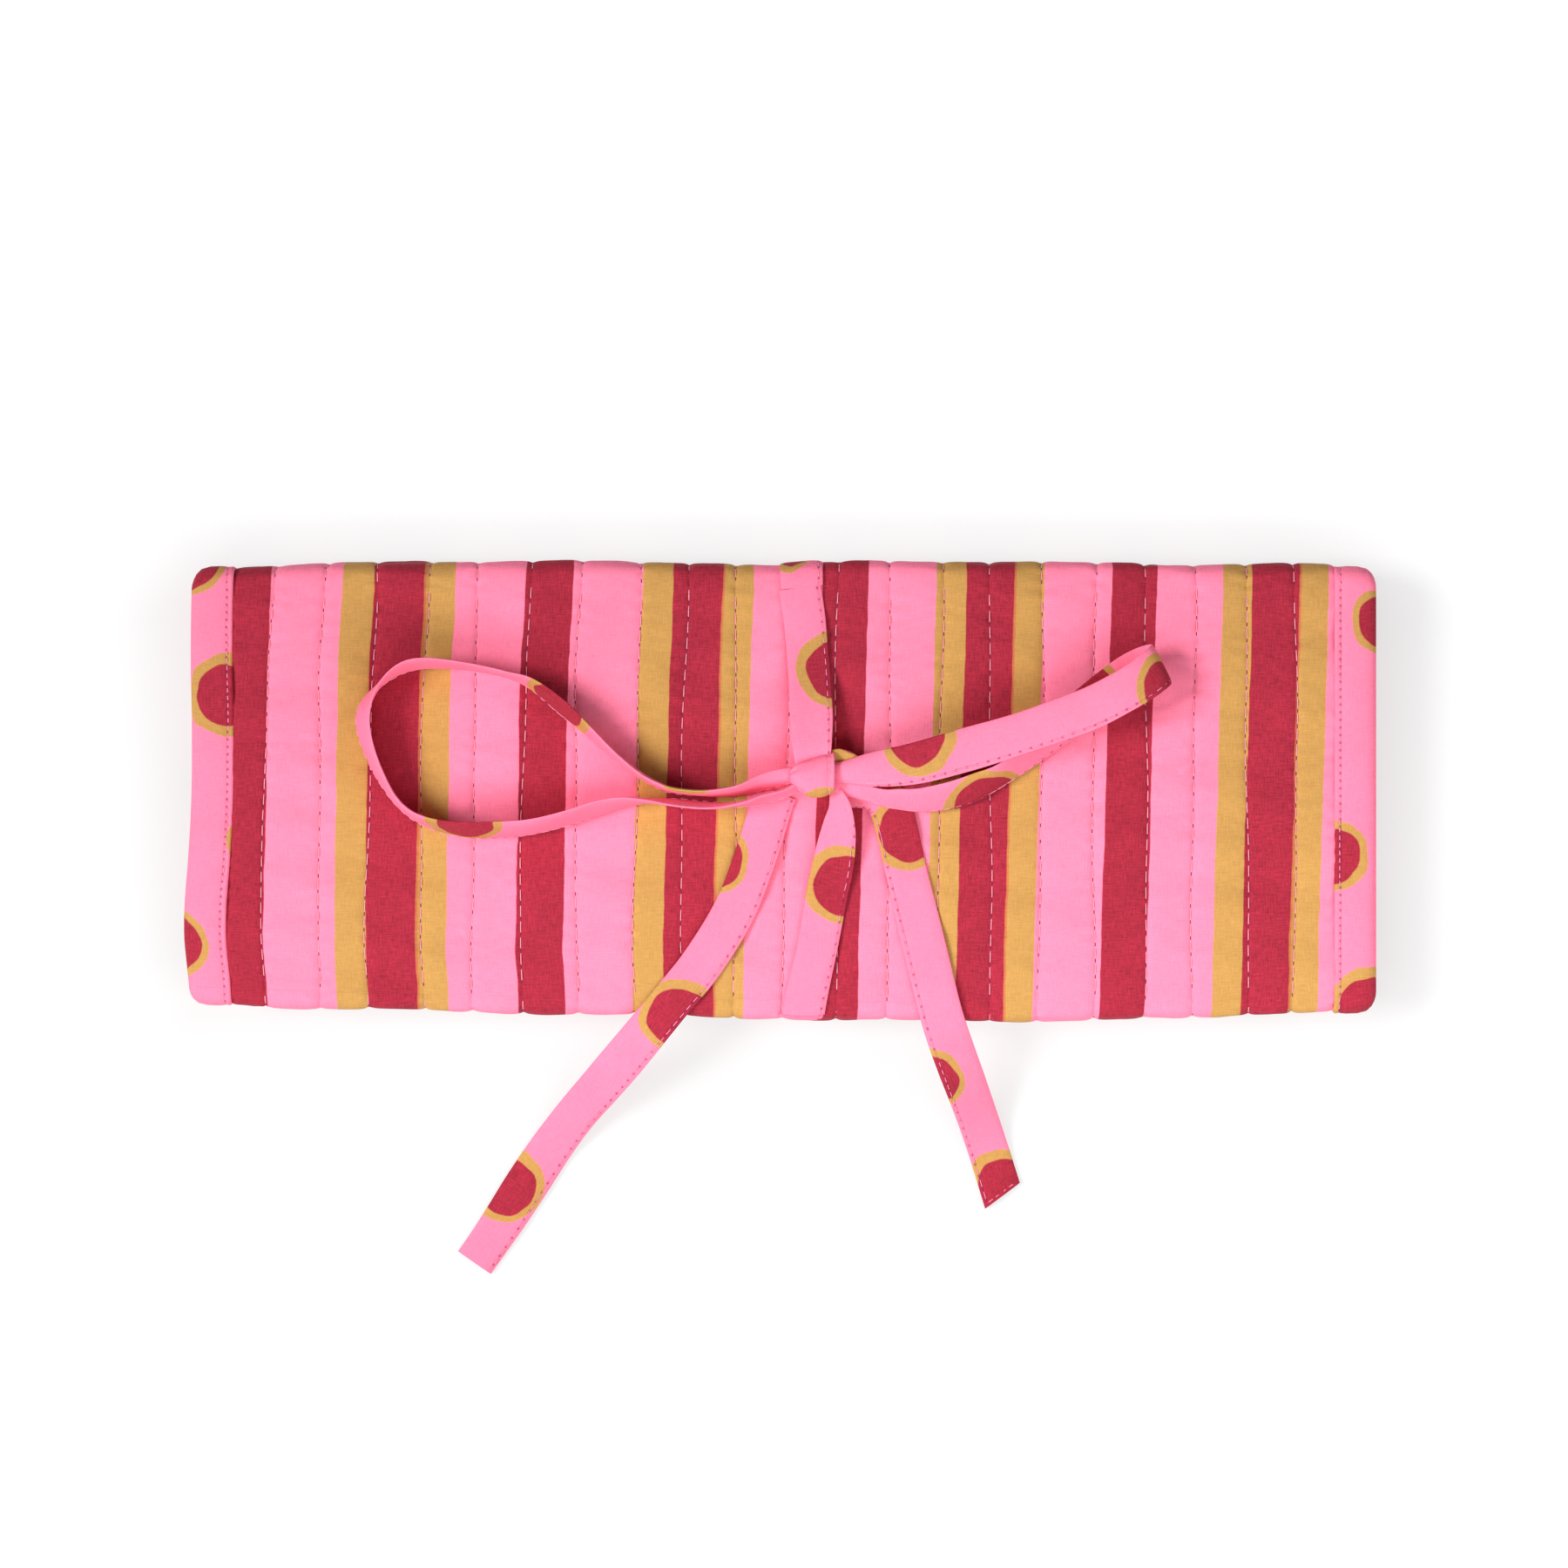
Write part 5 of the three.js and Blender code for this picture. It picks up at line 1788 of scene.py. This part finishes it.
    def __init__(self) -> None:
        """Names the ribbons."""
        self.thread = Thread("tie_thread").make()
        back_dot = Spot(3.6, 51.25, -2.2, 2.7, 4.3)
        fold_dot = Spot(13.0, 3.0, 6.5, 5.0, 7.4)
        self.straps = (
            Ribbon("tie_back_run", "spine", self.BACK_RUN, (back_dot,), laid=True),
            Ribbon(
                "tie_back_strap", "face", self.BACK_STRAP,
                (Spot(8.3, 26.9, 6.1),), curl=(0.0, 0.9), curl_length=20.0,
            ),
            Ribbon(
                "tie_front_strap", "face", self.FRONT_STRAP,
                (Spot(11.0, -21.2, 3.0),), curl=(2.2, 0.0), curl_length=20.0,
            ),
            Ribbon("tie_front_run", "base", self.FRONT_RUN, laid=True),
            Ribbon("bow_knot_fold", "face", self.KNOT_FOLD, (fold_dot,), solid=False),
        )
        left_loop = (Spot(-50.5, 19.0, 1.0), Spot(-72.0, -8.6, 4.0), Spot(-22.2, 0.0, 12.2))
        right_loop = (
            Spot(31.1, 6.6, 5.6, 6.7, 8.8), Spot(69.0, 19.6, 2.0),
            Spot(44.2, 0.6, -4.5), Spot(84.1, 27.0, -4.6, 5.6, 7.6),
        )
        self.loops = (
            Ribbon(
                "bow_loop_left", "face", self.LEFT_LOOP, left_loop,
                stitched=-1.0, curl=(0.9, 0.9), curl_length=16.0,
            ),
            Ribbon(
                "bow_loop_right", "face", self.RIGHT_LOOP, right_loop,
                stitched=-1.0, curl=(1.2, 1.5), curl_length=18.0,
            ),
        )
        left_tail = (
            Spot(-7.2, -18.8, -9.0, 6.6, 8.3), Spot(-26.2, -49.4, 3.6, 6.9, 8.7),
            Spot(-60.4, -92.7, -3.8, 6.7, 8.7),
        )
        right_tail = (
            Spot(26.0, -9.6, 2.2), Spot(40.1, -64.2, -10.1, 8.8, 10.6), Spot(50.2, -92.4, 0.6),
        )
        self.tails = (
            Ribbon("tie_tail_left", "face", self.LEFT_TAIL, left_tail),
            Ribbon(
                "tie_tail_right", "face", self.RIGHT_TAIL, right_tail,
                stitched=-1.0, slant=-0.36,
            ),
        )

    def build(self) -> None:
        """Makes the straps, the bow and the knot."""
        for ribbon in self.straps:
            self.flatten(ribbon.node, ribbon, *ribbon.build(self.thread))
        self.flatten("bow_knot", self.straps[1], *Knot().build(self.thread))
        for ribbon in self.loops + self.tails:
            piece, stitches = ribbon.build(self.thread)
            self.flatten(ribbon.node, ribbon, piece, stitches)
            track = ribbon.track()
            loop = ribbon in self.loops
            tuple(track.center[0] * MM)
            float(track.run[-1]) * MM
            (track.center[::2] * MM).tolist()

    def flatten(self, node: str, ribbon: Ribbon, piece: Piece, stitches: Piece) -> None:
        """Settles pieces on the ribbon's body and gives each a mesh of its own.

        Args:
            node: the CAD node that the piece stands for, where the ribbon is solid.
            ribbon: the ribbon that they ride as.
            piece: the cloth.
            stitches: its stitches.
        """
        for part, nodes in ((piece, (node,) if ribbon.solid else ()), (stitches, ())):
            settle(part, ribbon.body, Slot.TIE, *nodes)
            if ribbon.node == "tie_back_run":
                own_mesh(part)
            elif ribbon.node == "tie_front_run":
                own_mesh(part)
            else:
                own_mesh(part)


# The inside


@dataclass(frozen=True)
class WovenTape:
    """Zip tape: a fine twill."""

    name: str
    tint: Color = srgb(146, 34, 52)

    def make(self) -> Material:
        """Makes the material: slanting ribs with a little noise.

        Returns:
            The material.
        """
        graph = Graph(self.name)
        across, along = graph.cloth
        rib = ((across + along) / 0.16).math("SINE")
        fuzz = graph.noise((0.4, 0.4), 2.0)
        color = graph.shade(self.tint, rib * 0.1 + fuzz * 0.3 + 1.0)
        return graph.surface(rib + fuzz, 0.05, Base_Color=color, Roughness=0.85, Specular_IOR_Level=0.2)


@dataclass(frozen=True)
class Nylon:
    """The zip's coil."""

    name: str
    tint: Color = srgb(150, 32, 52)

    def make(self) -> Material:
        """Makes the material: dyed plastic, a little uneven in gloss.

        Returns:
            The material.
        """
        graph = Graph(self.name)
        cloud = graph.noise((1.5, 1.5), 2.0)
        color = graph.shade(self.tint, cloud * 0.2 + 1.0)
        return graph.surface(None, Base_Color=color, Roughness=cloud * 0.2 + 0.36, Specular_IOR_Level=0.5)


@dataclass(frozen=True)
class Brass:
    """Satin brass with fine scratches and slightly darker patches."""

    name: str
    tint: Color = srgb(214, 172, 92)

    def make(self) -> Material:
        """Makes the material: long thin noise for the scratches and round noise for the patches.

        Returns:
            The material.
        """
        graph = Graph(self.name)
        scratch = graph.noise((3.0, 0.12), 2.0, 1.0)
        patch = graph.noise((3.5, 3.5), 3.0, 2.0)
        color = graph.shade(self.tint, patch * 0.3 + 1.0)
        gloss = patch * 0.25 + scratch * 0.2 + 0.32
        return graph.surface(scratch, 0.01, Base_Color=color, Metallic=1.0, Roughness=gloss)


TAB_DOTS = (Dot(-62.0, 13.0), Dot(56.0, 0.0))


@dataclass(frozen=True)
class Trims:
    """The finishes of the inside's pieces."""

    cloth: Material = field(default_factory=SpottedLining("pocket_cotton").make)
    edge: Material = field(default_factory=DottedCotton("tab_cotton", dots=TAB_DOTS).make)
    tape: Material = field(default_factory=WovenTape("zip_twill").make)
    coil: Material = field(default_factory=Nylon("zip_nylon").make)
    brass: Material = field(default_factory=Brass("satin_brass").make)
    thread: Material = field(default_factory=Thread("pocket_thread").make)


def slab(top: Array, bottom: Array, uv: Array, flip: bool = False) -> Patchwork:
    """Closes two grids of the same size into a thin slab.

    Args:
        top: the upper grid, rows towards +Y and columns towards +X.
        bottom: the lower grid.
        uv: the cloth's coordinates.
        flip: whether the slab hangs upside down.

    Returns:
        The slab's grids.
    """
    work = Patchwork().add(top, uv, flip=flip).add(bottom, uv, flip=not flip)
    return work.shut(top, bottom, uv, flip=flip)


@dataclass
class ZipPocket:
    """A flat pocket on a wall's inside: the panel, and the zip's tapes, coil, stops, slider and pull.

    The level is that of the wall's lining, and up is which way the lining looks.
    """

    prefix: str
    trims: Trims
    level: float
    up: float
    zip_y: float
    front: float
    back: float
    parked: float = 93.5
    axis: float = 4.35
    half_panel: float = 124.6
    top: float = 1.5
    under: float = 1.12
    hem: Pair = (7.0, 6.2)
    edge_row: float = 1.3
    hem_row: float = 5.6
    sewn: float = 1.68
    seam: StitchRow = StitchRow(0.11, 0.15, 0.03)
    half_tape: float = 112.0
    tape_edges: Pair = (0.3, 8.3)
    tape_top: float = 0.74
    tape_under: float = 0.3
    stop: float = 101.8
    half_coil: float = 99.4
    coil_level: float = 1.62
    coil_reach: float = 1.12
    coil_sway: float = 0.42
    loops: StitchRow = StitchRow(0.4, 0.3, 0.16)
    loop_pitch: float = 0.72

    @property
    def turned(self) -> bool:
        """Whether the lining looks down."""
        return self.up < 0.0

    def place(self, x: Array | float, y: Array | float, height: Array | float) -> Array:
        """Places points by their height over the lining."""
        return spread(x, y, self.level + self.up * np.asarray(height))

    def normals(self, count: int) -> Array:
        """Gives the way up from the lining, in rows."""
        return np.tile([0.0, 0.0, self.up], (count, 1))

    def build(self) -> None:
        """Makes every piece."""
        self.panel()
        self.tapes()
        self.coil()
        self.stops()
        self.slider()
        self.pull()

    def panel(self) -> None:
        """Makes the pocket's cloth, with a turned and sewn hem by the zip."""
        prefix = self.prefix
        x = np.linspace(-self.half_panel, self.half_panel, 150)
        y = np.linspace(self.front + 0.2, self.back - 0.1, 44)[:, None]
        hem = smooth(y, *(self.back - inset for inset in self.hem))
        slack = Ripple(31 if self.turned else 32, 26.0)(x, y)
        edge = np.minimum(np.abs(y - self.front), np.abs(self.back - y))
        top = self.place(x, y, self.top + 0.16 * hem + 0.1 * slack - 0.25 * np.exp(-edge / 0.35))
        bottom = self.place(x, y, self.under)
        uv = spread(x + 11.0, y + 17.0 * self.up)
        piece = slab(top, bottom, uv, self.turned).build(f"{prefix}_pocket_cloth", self.trims.cloth)
        flat = (0.2492, (self.back - self.front) * MM)
        settle(piece, prefix, Slot.LINING, f"{prefix}_pocket_panel")
        starts = np.arange(-123.0, 122.0, 2.6)
        for name, inset in (("edge", self.edge_row), ("hem", self.hem_row)):
            ends = (self.place(starts + shift, self.back - inset, self.sewn) for shift in (0.0, 1.9))
            parts = (*ends, self.normals(len(starts)))
            row = self.seam.build(f"{prefix}_pocket_{name}_stitches", self.trims.thread, *parts)
            settle(row, prefix, Slot.LINING)

    def tapes(self) -> None:
        """Makes both tapes of the zip, with a rib along each."""
        prefix = self.prefix
        x = np.linspace(-self.half_tape, self.half_tape, 90)
        for name, near in (("near", -1.0), ("far", 1.0)):
            y = self.zip_y + near * self.up * np.linspace(*self.tape_edges, 15)[:, None]
            y = np.sort(y, axis=0)
            off = np.abs(y - self.zip_y)
            rib = 0.12 * bell(off, 2.5, 0.3) - 0.12 * np.exp(-(self.tape_edges[1] - off) / 0.4)
            wave = 0.05 * Ripple(41, 9.0)(x, y)
            top = self.place(x, y, self.tape_top + rib + wave)
            work = slab(top, self.place(x, y, self.tape_under), spread(x, y), self.turned)
            piece = work.build(f"{prefix}_zip_tape_{name}_weave", self.trims.tape)
            settle(piece, prefix, Slot.TAPE, f"{prefix}_zip_tape_{name}")

    def coil(self) -> None:
        """Makes the coil: two rows of bent loops that interlock along the middle."""
        prefix = self.prefix
        x = np.arange(-self.half_coil, self.half_coil + 0.1, self.loop_pitch)
        y = self.zip_y + np.where(np.arange(len(x)) % 2, self.coil_sway, -self.coil_sway)
        ends = (self.place(x, y + reach, self.coil_level) for reach in (-self.coil_reach, self.coil_reach))
        parts = (*ends, self.normals(len(x)))
        piece = self.loops.build(f"{prefix}_zip_coil_loops", self.trims.coil, *parts)
        settle(piece, prefix, Slot.COIL, f"{prefix}_zip_coil")

    def block(self, middle: Triple, half: Triple, waist: float, taper: float) -> Patchwork:
        """Makes a rounded block, as a grid round its upright axis.

        Args:
            middle: its centre: x, y and the height over the lining.
            half: half its sizes.
            waist: how far its sides draw in at half height.
            taper: how much narrower its left end is.

        Returns:
            The block's grid.
        """
        turn = around(48)
        rise = np.linspace(-np.pi / 2.0, np.pi / 2.0, 25)[:, None]
        ring = np.abs(np.cos(rise)) ** 0.3
        up = blunt(np.sin(rise), 0.55)
        draw = 1.0 - waist * bell(up, 0.0, 0.35)
        x = half[0] * ring * blunt(np.cos(turn), 0.5)
        narrow = 1.0 - taper * (0.5 - x / half[0] / 2.0)
        y = half[1] * ring * draw * blunt(np.sin(turn), 0.5) * narrow
        points = self.place(middle[0] + x, middle[1] + y, middle[2] + half[2] * up)
        return Patchwork().add(points, spread(turn * 3.0, rise * 3.0), ring=True, flip=self.turned)

    def stops(self) -> None:
        """Makes the crimped stops at both ends of the coil."""
        prefix = self.prefix
        for name, sign in (("left", -1.0), ("right", 1.0)):
            middle = (sign * self.stop, self.zip_y, 1.75)
            crimp = self.block(middle, (1.5, 2.2, 0.68), 0.12, 0.0)
            piece = crimp.build(f"{prefix}_zip_stop_{name}_crimp", self.trims.brass)
            settle(piece, prefix, Slot.BRASS, f"{prefix}_zip_stop_{name}")

    def slider(self) -> None:
        """Makes the slider: a waisted body with a bail over it."""
        prefix = self.prefix
        body = self.block((self.parked, self.zip_y, 2.36), (4.5, 3.5, 1.26), 0.14, 0.3)
        turn = np.linspace(-0.12, np.pi + 0.12, 26)[:, None]
        girth = around(14)
        reach = 0.36 * np.cos(girth)
        x = self.parked + (2.42 + reach) * blunt(np.cos(turn), 0.6)
        height = 3.4 + (2.0 + reach) * blunt(np.sin(turn), 0.6)
        bail = self.place(x, self.zip_y + 1.1 * np.sin(girth), height)
        body.add(bail, spread(turn * 4.0, girth), ring=True, flip=not self.turned)
        piece = body.build(f"{prefix}_zip_slider_body", self.trims.brass)
        settle(piece, f"{prefix}_slider", Slot.BRASS, f"{prefix}_zip_slider")

    def pull(self) -> None:
        """Makes the pull: a tapered tab with a raised rim and an eye for the bail."""
        prefix = self.prefix
        turn = np.linspace(0.0, 2.0 * np.pi, 97)[:, None]
        ahead, across = np.cos(turn), np.sin(turn)
        eye = 2.04
        limits = [
            np.where(ahead < -1e-6, (-0.45 - eye) / np.minimum(ahead, -1e-6), 1e3),
            np.where(ahead > 1e-6, (16.0 - eye) / np.maximum(ahead, 1e-6), 1e3),
            (2.3 + 0.0425 * (eye + 0.45)) / np.maximum(np.abs(across) - 0.0425 * ahead, 1e-3),
        ]
        outer = sum(limit**-14.0 for limit in limits) ** (-1.0 / 14.0)
        hole = (np.abs(ahead / 1.56) ** 4 + np.abs(across / 1.36) ** 4) ** -0.25
        profile = np.array([
            (0.0, -0.25), (0.0, 0.25), (0.14, 0.4), (0.4, 0.44), (-0.75, 0.34), (-0.5, 0.45),
            (-0.14, 0.4), (-0.01, 0.22), (-0.01, -0.22), (-0.14, -0.4), (-0.5, -0.45),
            (-0.75, -0.34), (0.4, -0.44), (0.14, -0.4),
        ])
        inner_side = np.array([True] * 4 + [False] * 8 + [True] * 2)
        near_eye = np.minimum(hole + np.abs(profile[:, 0]), outer - 0.8)
        radius = np.where(inner_side, near_eye, outer + profile[:, 0])
        x, y = radius * ahead, radius * across
        points = self.place(self.parked + eye + x, self.zip_y + y, self.axis + profile[:, 1])
        tab = Patchwork().add(points, spread(x, y), ring=True, flip=not self.turned)
        piece = tab.build(f"{prefix}_zip_pull_tab", self.trims.brass)
        settle(piece, f"{prefix}_pull", Slot.BRASS, f"{prefix}_zip_pull")


@dataclass
class RingBar:
    """The padded bar for rings: the bar, its sewn anchor, the tab at its free end, and the press stud."""

    STUD = (
        (0.0, 6.95), (1.1, 6.95), (1.3, 6.75), (1.3, 6.4), (1.7, 6.32), (3.6, 6.32),
        (4.1, 6.48), (4.45, 6.3), (4.5, 6.0), (4.4, 5.74), (0.0, 5.72),
    )
    SOCKET = (
        (0.0, 7.5), (1.5, 7.5), (1.55, 6.9), (1.9, 6.82), (3.7, 6.86),
        (4.2, 6.98), (4.48, 7.2), (4.4, 7.5), (4.1, 7.58), (0.0, 7.6),
    )
    CAP = ((0.0, 9.3), (1.6, 9.25), (3.0, 9.1), (3.9, 8.9), (4.2, 8.7), (4.1, 8.5), (0.0, 8.5))

    trims: Trims
    y: float = 8.0
    level: float = 9.95
    snap_x: float = 58.3
    left: float = -69.9
    length: float = 119.8
    radius: float = 4.14
    seam: float = 1.2
    row: StitchRow = StitchRow(0.11, 0.15, 0.04)

    def build(self) -> None:
        """Makes every piece."""
        self.bar()
        self.flat("ring_bar_anchor", "base", (-84.2, -70.4), (5.72, 6.66), 5.0, False)
        self.flat("ring_bar_tab", "bar", (50.3, 66.2), (7.92, 8.68), 5.5, True)
        self.snap("snap_stud", "base", self.STUD)
        self.snap("snap_socket", "bar", self.SOCKET, self.CAP)

    def bar(self) -> None:
        """Makes the stuffed bar, gathered into both ends, with a seam underneath."""
        angle = around(48)
        end = 0.5 - 0.5 * np.cos(np.linspace(0.0, 0.35 * np.pi, 16))
        share = np.concatenate([end, np.linspace(0.23, 0.77, 110), 1.0 - end[::-1]])[:, None]
        x = self.left + self.length * share
        near = np.minimum(share, 1.0 - share) * self.length
        radius = self.radius * np.sqrt(1.0 - np.clip(1.0 - near / 4.2, 0.0, 1.0) ** 2.4)
        pleat = 0.16 * np.sin(13.0 * angle + 0.4) * np.exp(-near / 3.5)
        seam = -0.2 * bell(angle, 1.5 * np.pi, 0.12)
        slack = 0.08 * Ripple(51, 13.0)(x, np.sin(angle) * 6.0)
        radius = radius + (pleat + seam + slack) * np.minimum(near, 1.0)
        points = spread(x, self.y + radius * np.cos(angle), self.level + radius * np.sin(angle))
        work = Patchwork().add(points, spread(x, angle * 4.2 + 40.0), ring=True, flip=True)
        piece = work.build("ring_bar_pad", self.trims.cloth)
        settle(piece, "bar", Slot.LINING, "ring_bar")

    def flat(self, node: str, body: str, span: Pair, level: Pair, half: float, rounded: bool) -> None:
        """Makes a folded and topstitched patch.

        Args:
            node: the CAD node that it stands for.
            body: the body that it rides on.
            span: where it starts and ends along the bar.
            level: its lowest and highest z.
            half: half its width.
            rounded: whether its right end is a half circle.
        """
        begin, end = span
        low, high = level
        x = np.linspace(begin, end, 40)
        over = np.clip((x - (end - half)) / half, 0.0, 1.0) if rounded else np.zeros(len(x))
        wide = half * np.sqrt(1.0 - 0.97 * over**2)
        across = np.linspace(-1.0, 1.0, 21)[:, None]
        y = self.y + across * wide
        edge = np.minimum(np.minimum(x - begin, end - x), wide * (1.0 - np.abs(across)))
        soft = 1.0 - np.exp(-edge / 0.35)
        groove = 0.1 * bell(edge, self.seam, 0.35)
        top = spread(x, y, low + (high - low) * (0.35 + 0.65 * soft) - groove)
        work = slab(top, spread(x, y, low), spread(x, y))
        settle(work.build(f"{node}_cloth", self.trims.edge), body, Slot.BINDING, node)
        side, first = half - self.seam, begin + self.seam
        last = end - (half if rounded else self.seam)
        corners = np.array([(first, -side), (last, -side), (last, side), (first, side), (first, -side)])
        starts, ends = [], []
        for corner_from, corner_to in zip(corners[:-1], corners[1:]):
            way = corner_to - corner_from
            count = max(2, int(np.linalg.norm(way) / 2.0))
            share = np.arange(count)[:, None] / count
            starts.append(corner_from + way * share)
            ends.append(corner_from + way * (share + 0.72 / count))
        lines = [np.concatenate(part) + (0.0, self.y) for part in (starts, ends)]
        lines = [np.column_stack([part, np.full(len(part), high - 0.06)]) for part in lines]
        normals = np.tile([0.0, 0.0, 1.0], (len(lines[0]), 1))
        stitches = self.row.build(f"{node}_stitches", self.trims.thread, *lines, normals)
        settle(stitches, body, Slot.BINDING)

    def snap(self, node: str, body: str, *profiles: Sequence[Pair]) -> None:
        """Turns half a press stud from its profiles.

        Args:
            node: the CAD node that it stands for.
            body: the body that it rides on.
            profiles: rows of radius and height; the socket has a second one, its cap on the tab.
        """
        turn = around(48)
        work = Patchwork()
        for rows in profiles:
            radius, height = np.array(rows).T[:, :, None]
            points = spread(self.snap_x + radius * np.cos(turn), self.y + radius * np.sin(turn), height)
            downward = rows[0][1] > rows[-1][1]
            work.add(points, spread(turn * 3.0, radius), ring=True, flip=downward)
        settle(work.build(f"{node}_press", self.trims.brass), body, Slot.BRASS, node)


# The studio


@dataclass(frozen=True)
class Studio:
    """A pale floor, soft light from the upper left, and a camera straight above.

    The camera and the lamps are placed in metres, and the floor in millimetres.
    """

    center: Pair = (0.0002, 0.0012)
    distance: float = 1.28
    framing: float = 0.3564
    key: float = 2.6
    side: float = 0.4
    front: float = 0.9
    fill: float = 0.05
    sensor: float = 36.0
    panel_size: Pair = (0.8, 0.12)
    panel_place: Triple = (0.1, -0.1, 0.18)
    panel_tilt: float = 35.0
    floor_level: float = -0.15
    half_floor: float = 4000.0
    lit_floor: Color = (0.93, 0.93, 0.935, 1.0)
    seen_floor: Color = (0.22, 0.22, 0.22, 1.0)
    # The floor's camera-only glow, its rise and its extra behind the roll are painted light over the cast
    # shadows.
    glow: float = 0.635
    glow_rise: float = 0.006
    glow_limit: float = 0.45
    back_glow: float = 0.09

    def build(self) -> None:
        """Makes the camera, the lights, the world and the floor."""
        scene = bpy.context.scene
        scene.view_settings.view_transform = "Standard"
        camera = bpy.data.cameras.new("camera")
        camera.sensor_width = self.sensor
        camera.lens = self.sensor * self.distance / self.framing
        scene.camera = linked("camera", camera)
        scene.camera.location = (*self.center, SIZES.height * MM + self.distance)
        self.sun("key", self.key, (-2.0, -42.0), 22.0)
        self.sun("side", self.side, (0.0, 50.0), 60.0)
        self.panel()
        self.world()
        self.floor()

    def sun(self, name: str, energy: float, turn: Pair, angle: float) -> None:
        """Makes a soft light from far away.

        Args:
            name: the lamp's name.
            energy: its strength.
            turn: how far it is turned round X and Y, in degrees.
            angle: how wide it is, in degrees.
        """
        sun = bpy.data.lights.new(name, "SUN")
        sun.energy = energy
        sun.angle = math.radians(angle)
        linked(name, sun).rotation_euler = (*(math.radians(part) for part in turn), 0.0)

    def panel(self) -> None:
        """Makes a weak, wide light over the front edge."""
        panel = bpy.data.lights.new("front", "AREA")
        panel.energy = self.front
        panel.shape = "RECTANGLE"
        panel.size, panel.size_y = self.panel_size
        lamp = linked("front", panel)
        lamp.location = self.panel_place
        lamp.rotation_euler = (math.radians(self.panel_tilt), 0.0, 0.0)
        lamp.visible_camera = False

    def world(self) -> None:
        """Makes a world that is white to look at and gives only a weak fill light."""
        world = bpy.data.worlds.new("studio")
        bpy.context.scene.world = world
        graph = Graph("studio", world)
        strength = graph.looked_at() * (1.0 - self.fill) + self.fill
        white = {"Color": (1.0, 1.0, 1.0, 1.0), "Strength": strength}
        graph.add_output(graph.add("ShaderNodeBackground", None, white), "ShaderNodeOutputWorld")

    def floor(self) -> None:
        """Makes a large floor just under the roll, lifted to white for the camera away from the roll; this
        camera-only glow, a little higher behind the roll, is painted light that fades the roll's cast
        shadows.
        """
        side = np.array([-self.half_floor, self.half_floor])
        grid = spread(side, side[:, None], self.floor_level)
        graph = Graph("pale_floor")
        white = graph.add("ShaderNodeBsdfDiffuse", None, {"Color": self.lit_floor})
        pale = graph.add("ShaderNodeBsdfDiffuse", None, {"Color": self.seen_floor})

        def outside(middle: Pair, half: Pair) -> Value:
            """Measures how far outside a rectangle of the floor a point lies."""
            gaps = [(abs(at - mid) - reach).maximum(0.0) for at, mid, reach in zip(graph.cloth, middle, half)]
            return (gaps[0] * gaps[0] + gaps[1] * gaps[1]).math("SQRT")

        # Painted light: the glow is lowest next to the roll and the tails, rises away from them and is higher
        # behind the roll, fading their cast shadows on the floor.
        roll, tails = outside((0.0, 0.0), (135.0, 51.0)), outside((-10.0, -79.0), (60.0, 29.0))
        rise = (roll.minimum(tails + 7.0) * self.glow_rise).minimum(self.glow_limit)
        level = rise + graph.cloth[1].step(38.0, 60.0) * self.back_glow + self.glow
        grey = graph.add("ShaderNodeCombineColor", None, (level, level, level))
        glow = graph.add("ShaderNodeEmission", None, {"Color": grey, "Strength": 1.0})
        seen = graph.add("ShaderNodeAddShader", None, (pale, glow))
        graph.add_output(graph.add("ShaderNodeMixShader", None, (graph.looked_at(), white, seen)))
        Patchwork().add(grid, grid[..., :2]).build("floor", graph.material)


def main() -> None:
    """Builds the dressed roll around the frame."""
    logging.basicConfig(level=logging.INFO, format="%(message)s")
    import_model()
    Studio().build()
    Tie().build()
    wall = Wall()
    cover = Cover(wall, Quilting())
    cover.build()
    Bindings(wall, cover).build()
    trims = Trims()
    low, high = SIZES.thick, SIZES.height - SIZES.thick
    ZipPocket("base", trims, low, up=1.0, zip_y=22.0, front=-40.2, back=17.8).build()
    ZipPocket("face", trims, high, up=-1.0, zip_y=33.0, front=-5.0, back=28.8).build()
    RingBar(trims).build()


if __name__ == "__main__":
    main()
